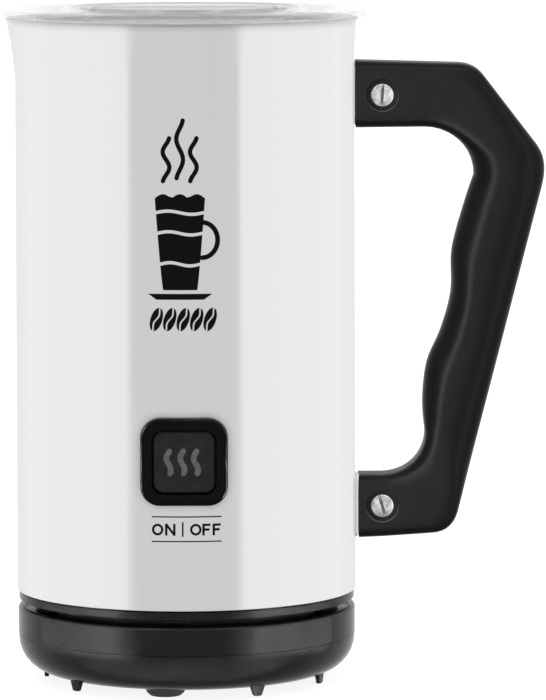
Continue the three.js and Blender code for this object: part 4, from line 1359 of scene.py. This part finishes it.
def build_floor():
    """A pale floor: it glows white to the camera and holds only a faint shadow."""
    corners = [(-12, -6, 0), (12, -6, 0), (12, 18, 0), (-12, 18, 0)]
    floor = added("floor", mesh_of(corners, [[0, 1, 2, 3]]))
    material, tree, shader = new_material("floor")
    tone = remap(tree, noise(tree, 40), 0.23, 0.25)
    colour = node(tree, "CombineColor", {"Red": tone, "Green": tone, "Blue": tone}).outputs[0]
    tree.links.new(colour, shader.inputs["Base Color"])
    shader.inputs["Roughness"].default_value = 0.9
    shader.inputs["Specular IOR Level"].default_value = 0.1
    seen = node(tree, "LightPath").outputs["Is Camera Ray"]
    brightness = 0.88
    glow = node(tree, "Math", {0: seen, 1: brightness}, operation="MULTIPLY").outputs[0]
    shader.inputs["Emission Color"].default_value = (1, 1, 1, 1)
    tree.links.new(glow, shader.inputs["Emission Strength"])
    floor.data.materials.append(material)
    floor.visible_glossy = False
    floor.visible_shadow = False
    floor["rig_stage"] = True


# Light panels: azimuth, elevation, width and height in metres, and radiance. The side panels give
# azimuth, width and radiance.
SIDE_PANELS = ((39, 0.4, 2), (56, 0.75, 7.5), (78, 0.75, 5.8), (102, 0.75, 2.5))
PLASTIC_PANELS = [(side * a, 8, wide, 2.1, glow) for side in (-1, 1) for a, wide, glow in SIDE_PANELS]
PLASTIC_PANELS += [(0, 62, 3, 0.5, 6), (0, -56, 6, 2.6, 1.9)]
BEZEL_PANELS = [(side * 75, 0, 1.6, 4, 34) for side in (-1, 1)] + [(0, 70, 4, 1.4, 12)]
HANDLE_PANELS = [(-11, 0, 0.45, 3, 18), (40, 0, 0.5, 3, 3), (0, 55, 1.5, 0.6, 6)]
PANEL_DISTANCE = 2.0
PANEL_SETS = (
    (PLASTIC_PANELS, ("base_plastic", "foot_rubber", "button_rubber")),
    (BEZEL_PANELS, ("gloss_black",)),
    (HANDLE_PANELS, ("handle_plastic",)),
)
IN_THE_GAP = "bottom_cover_fine"  # stays dark between the jug and its base


def build_panels():
    """Soft panels round the object that light only the black plastics, and show in their gloss."""
    centre = Vector((AXIS_X, 0, 0.05))
    for panels, slots in PANEL_SETS:
        lit = bpy.data.collections.new("lit")
        finishes = [made_finishes[slot] for slot in slots]
        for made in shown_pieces():
            if made.active_material in finishes and made.name != IN_THE_GAP:
                lit.objects.link(made)
        for azimuth, elevation, width, height, radiance in panels:
            lamp = bpy.data.lights.new("panel", "AREA")
            lamp.shape = "RECTANGLE"
            lamp.size = width
            lamp.size_y = height
            lamp.energy = radiance * math.pi * width * height
            lamp.cycles.use_multiple_importance_sampling = False
            holder = added("panel", lamp)
            around_z = Matrix.Rotation(math.radians(azimuth), 4, "Z")
            turn = around_z @ Matrix.Rotation(math.radians(90 - elevation), 4, "X")
            back = Matrix.Translation((0, 0, PANEL_DISTANCE))
            holder.matrix_world = Matrix.Translation(centre) @ turn @ back
            holder.visible_camera = False
            holder.visible_diffuse = False
            holder.light_linking.receiver_collection = lit


def dress_cad_nodes():
    """Gives every CAD node that still shows its material."""
    for name, part in frame["nodes"].items():
        part.data.materials.clear()
        part.data.materials.append(finish(SLOT_OF[name]))


build_camera()
build_world()
build_floor()
build_power_base()
build_jug_plug()
build_jug_body()
build_drive()
build_rotor()
build_whisk()
build_switch()
build_handle()
remake("lid", lid_body(), 30)
remake("lid_gasket", lid_gasket())
build_printing()
dress_cad_nodes()
build_panels()
bpy.context.scene.view_settings.view_transform = "Standard"
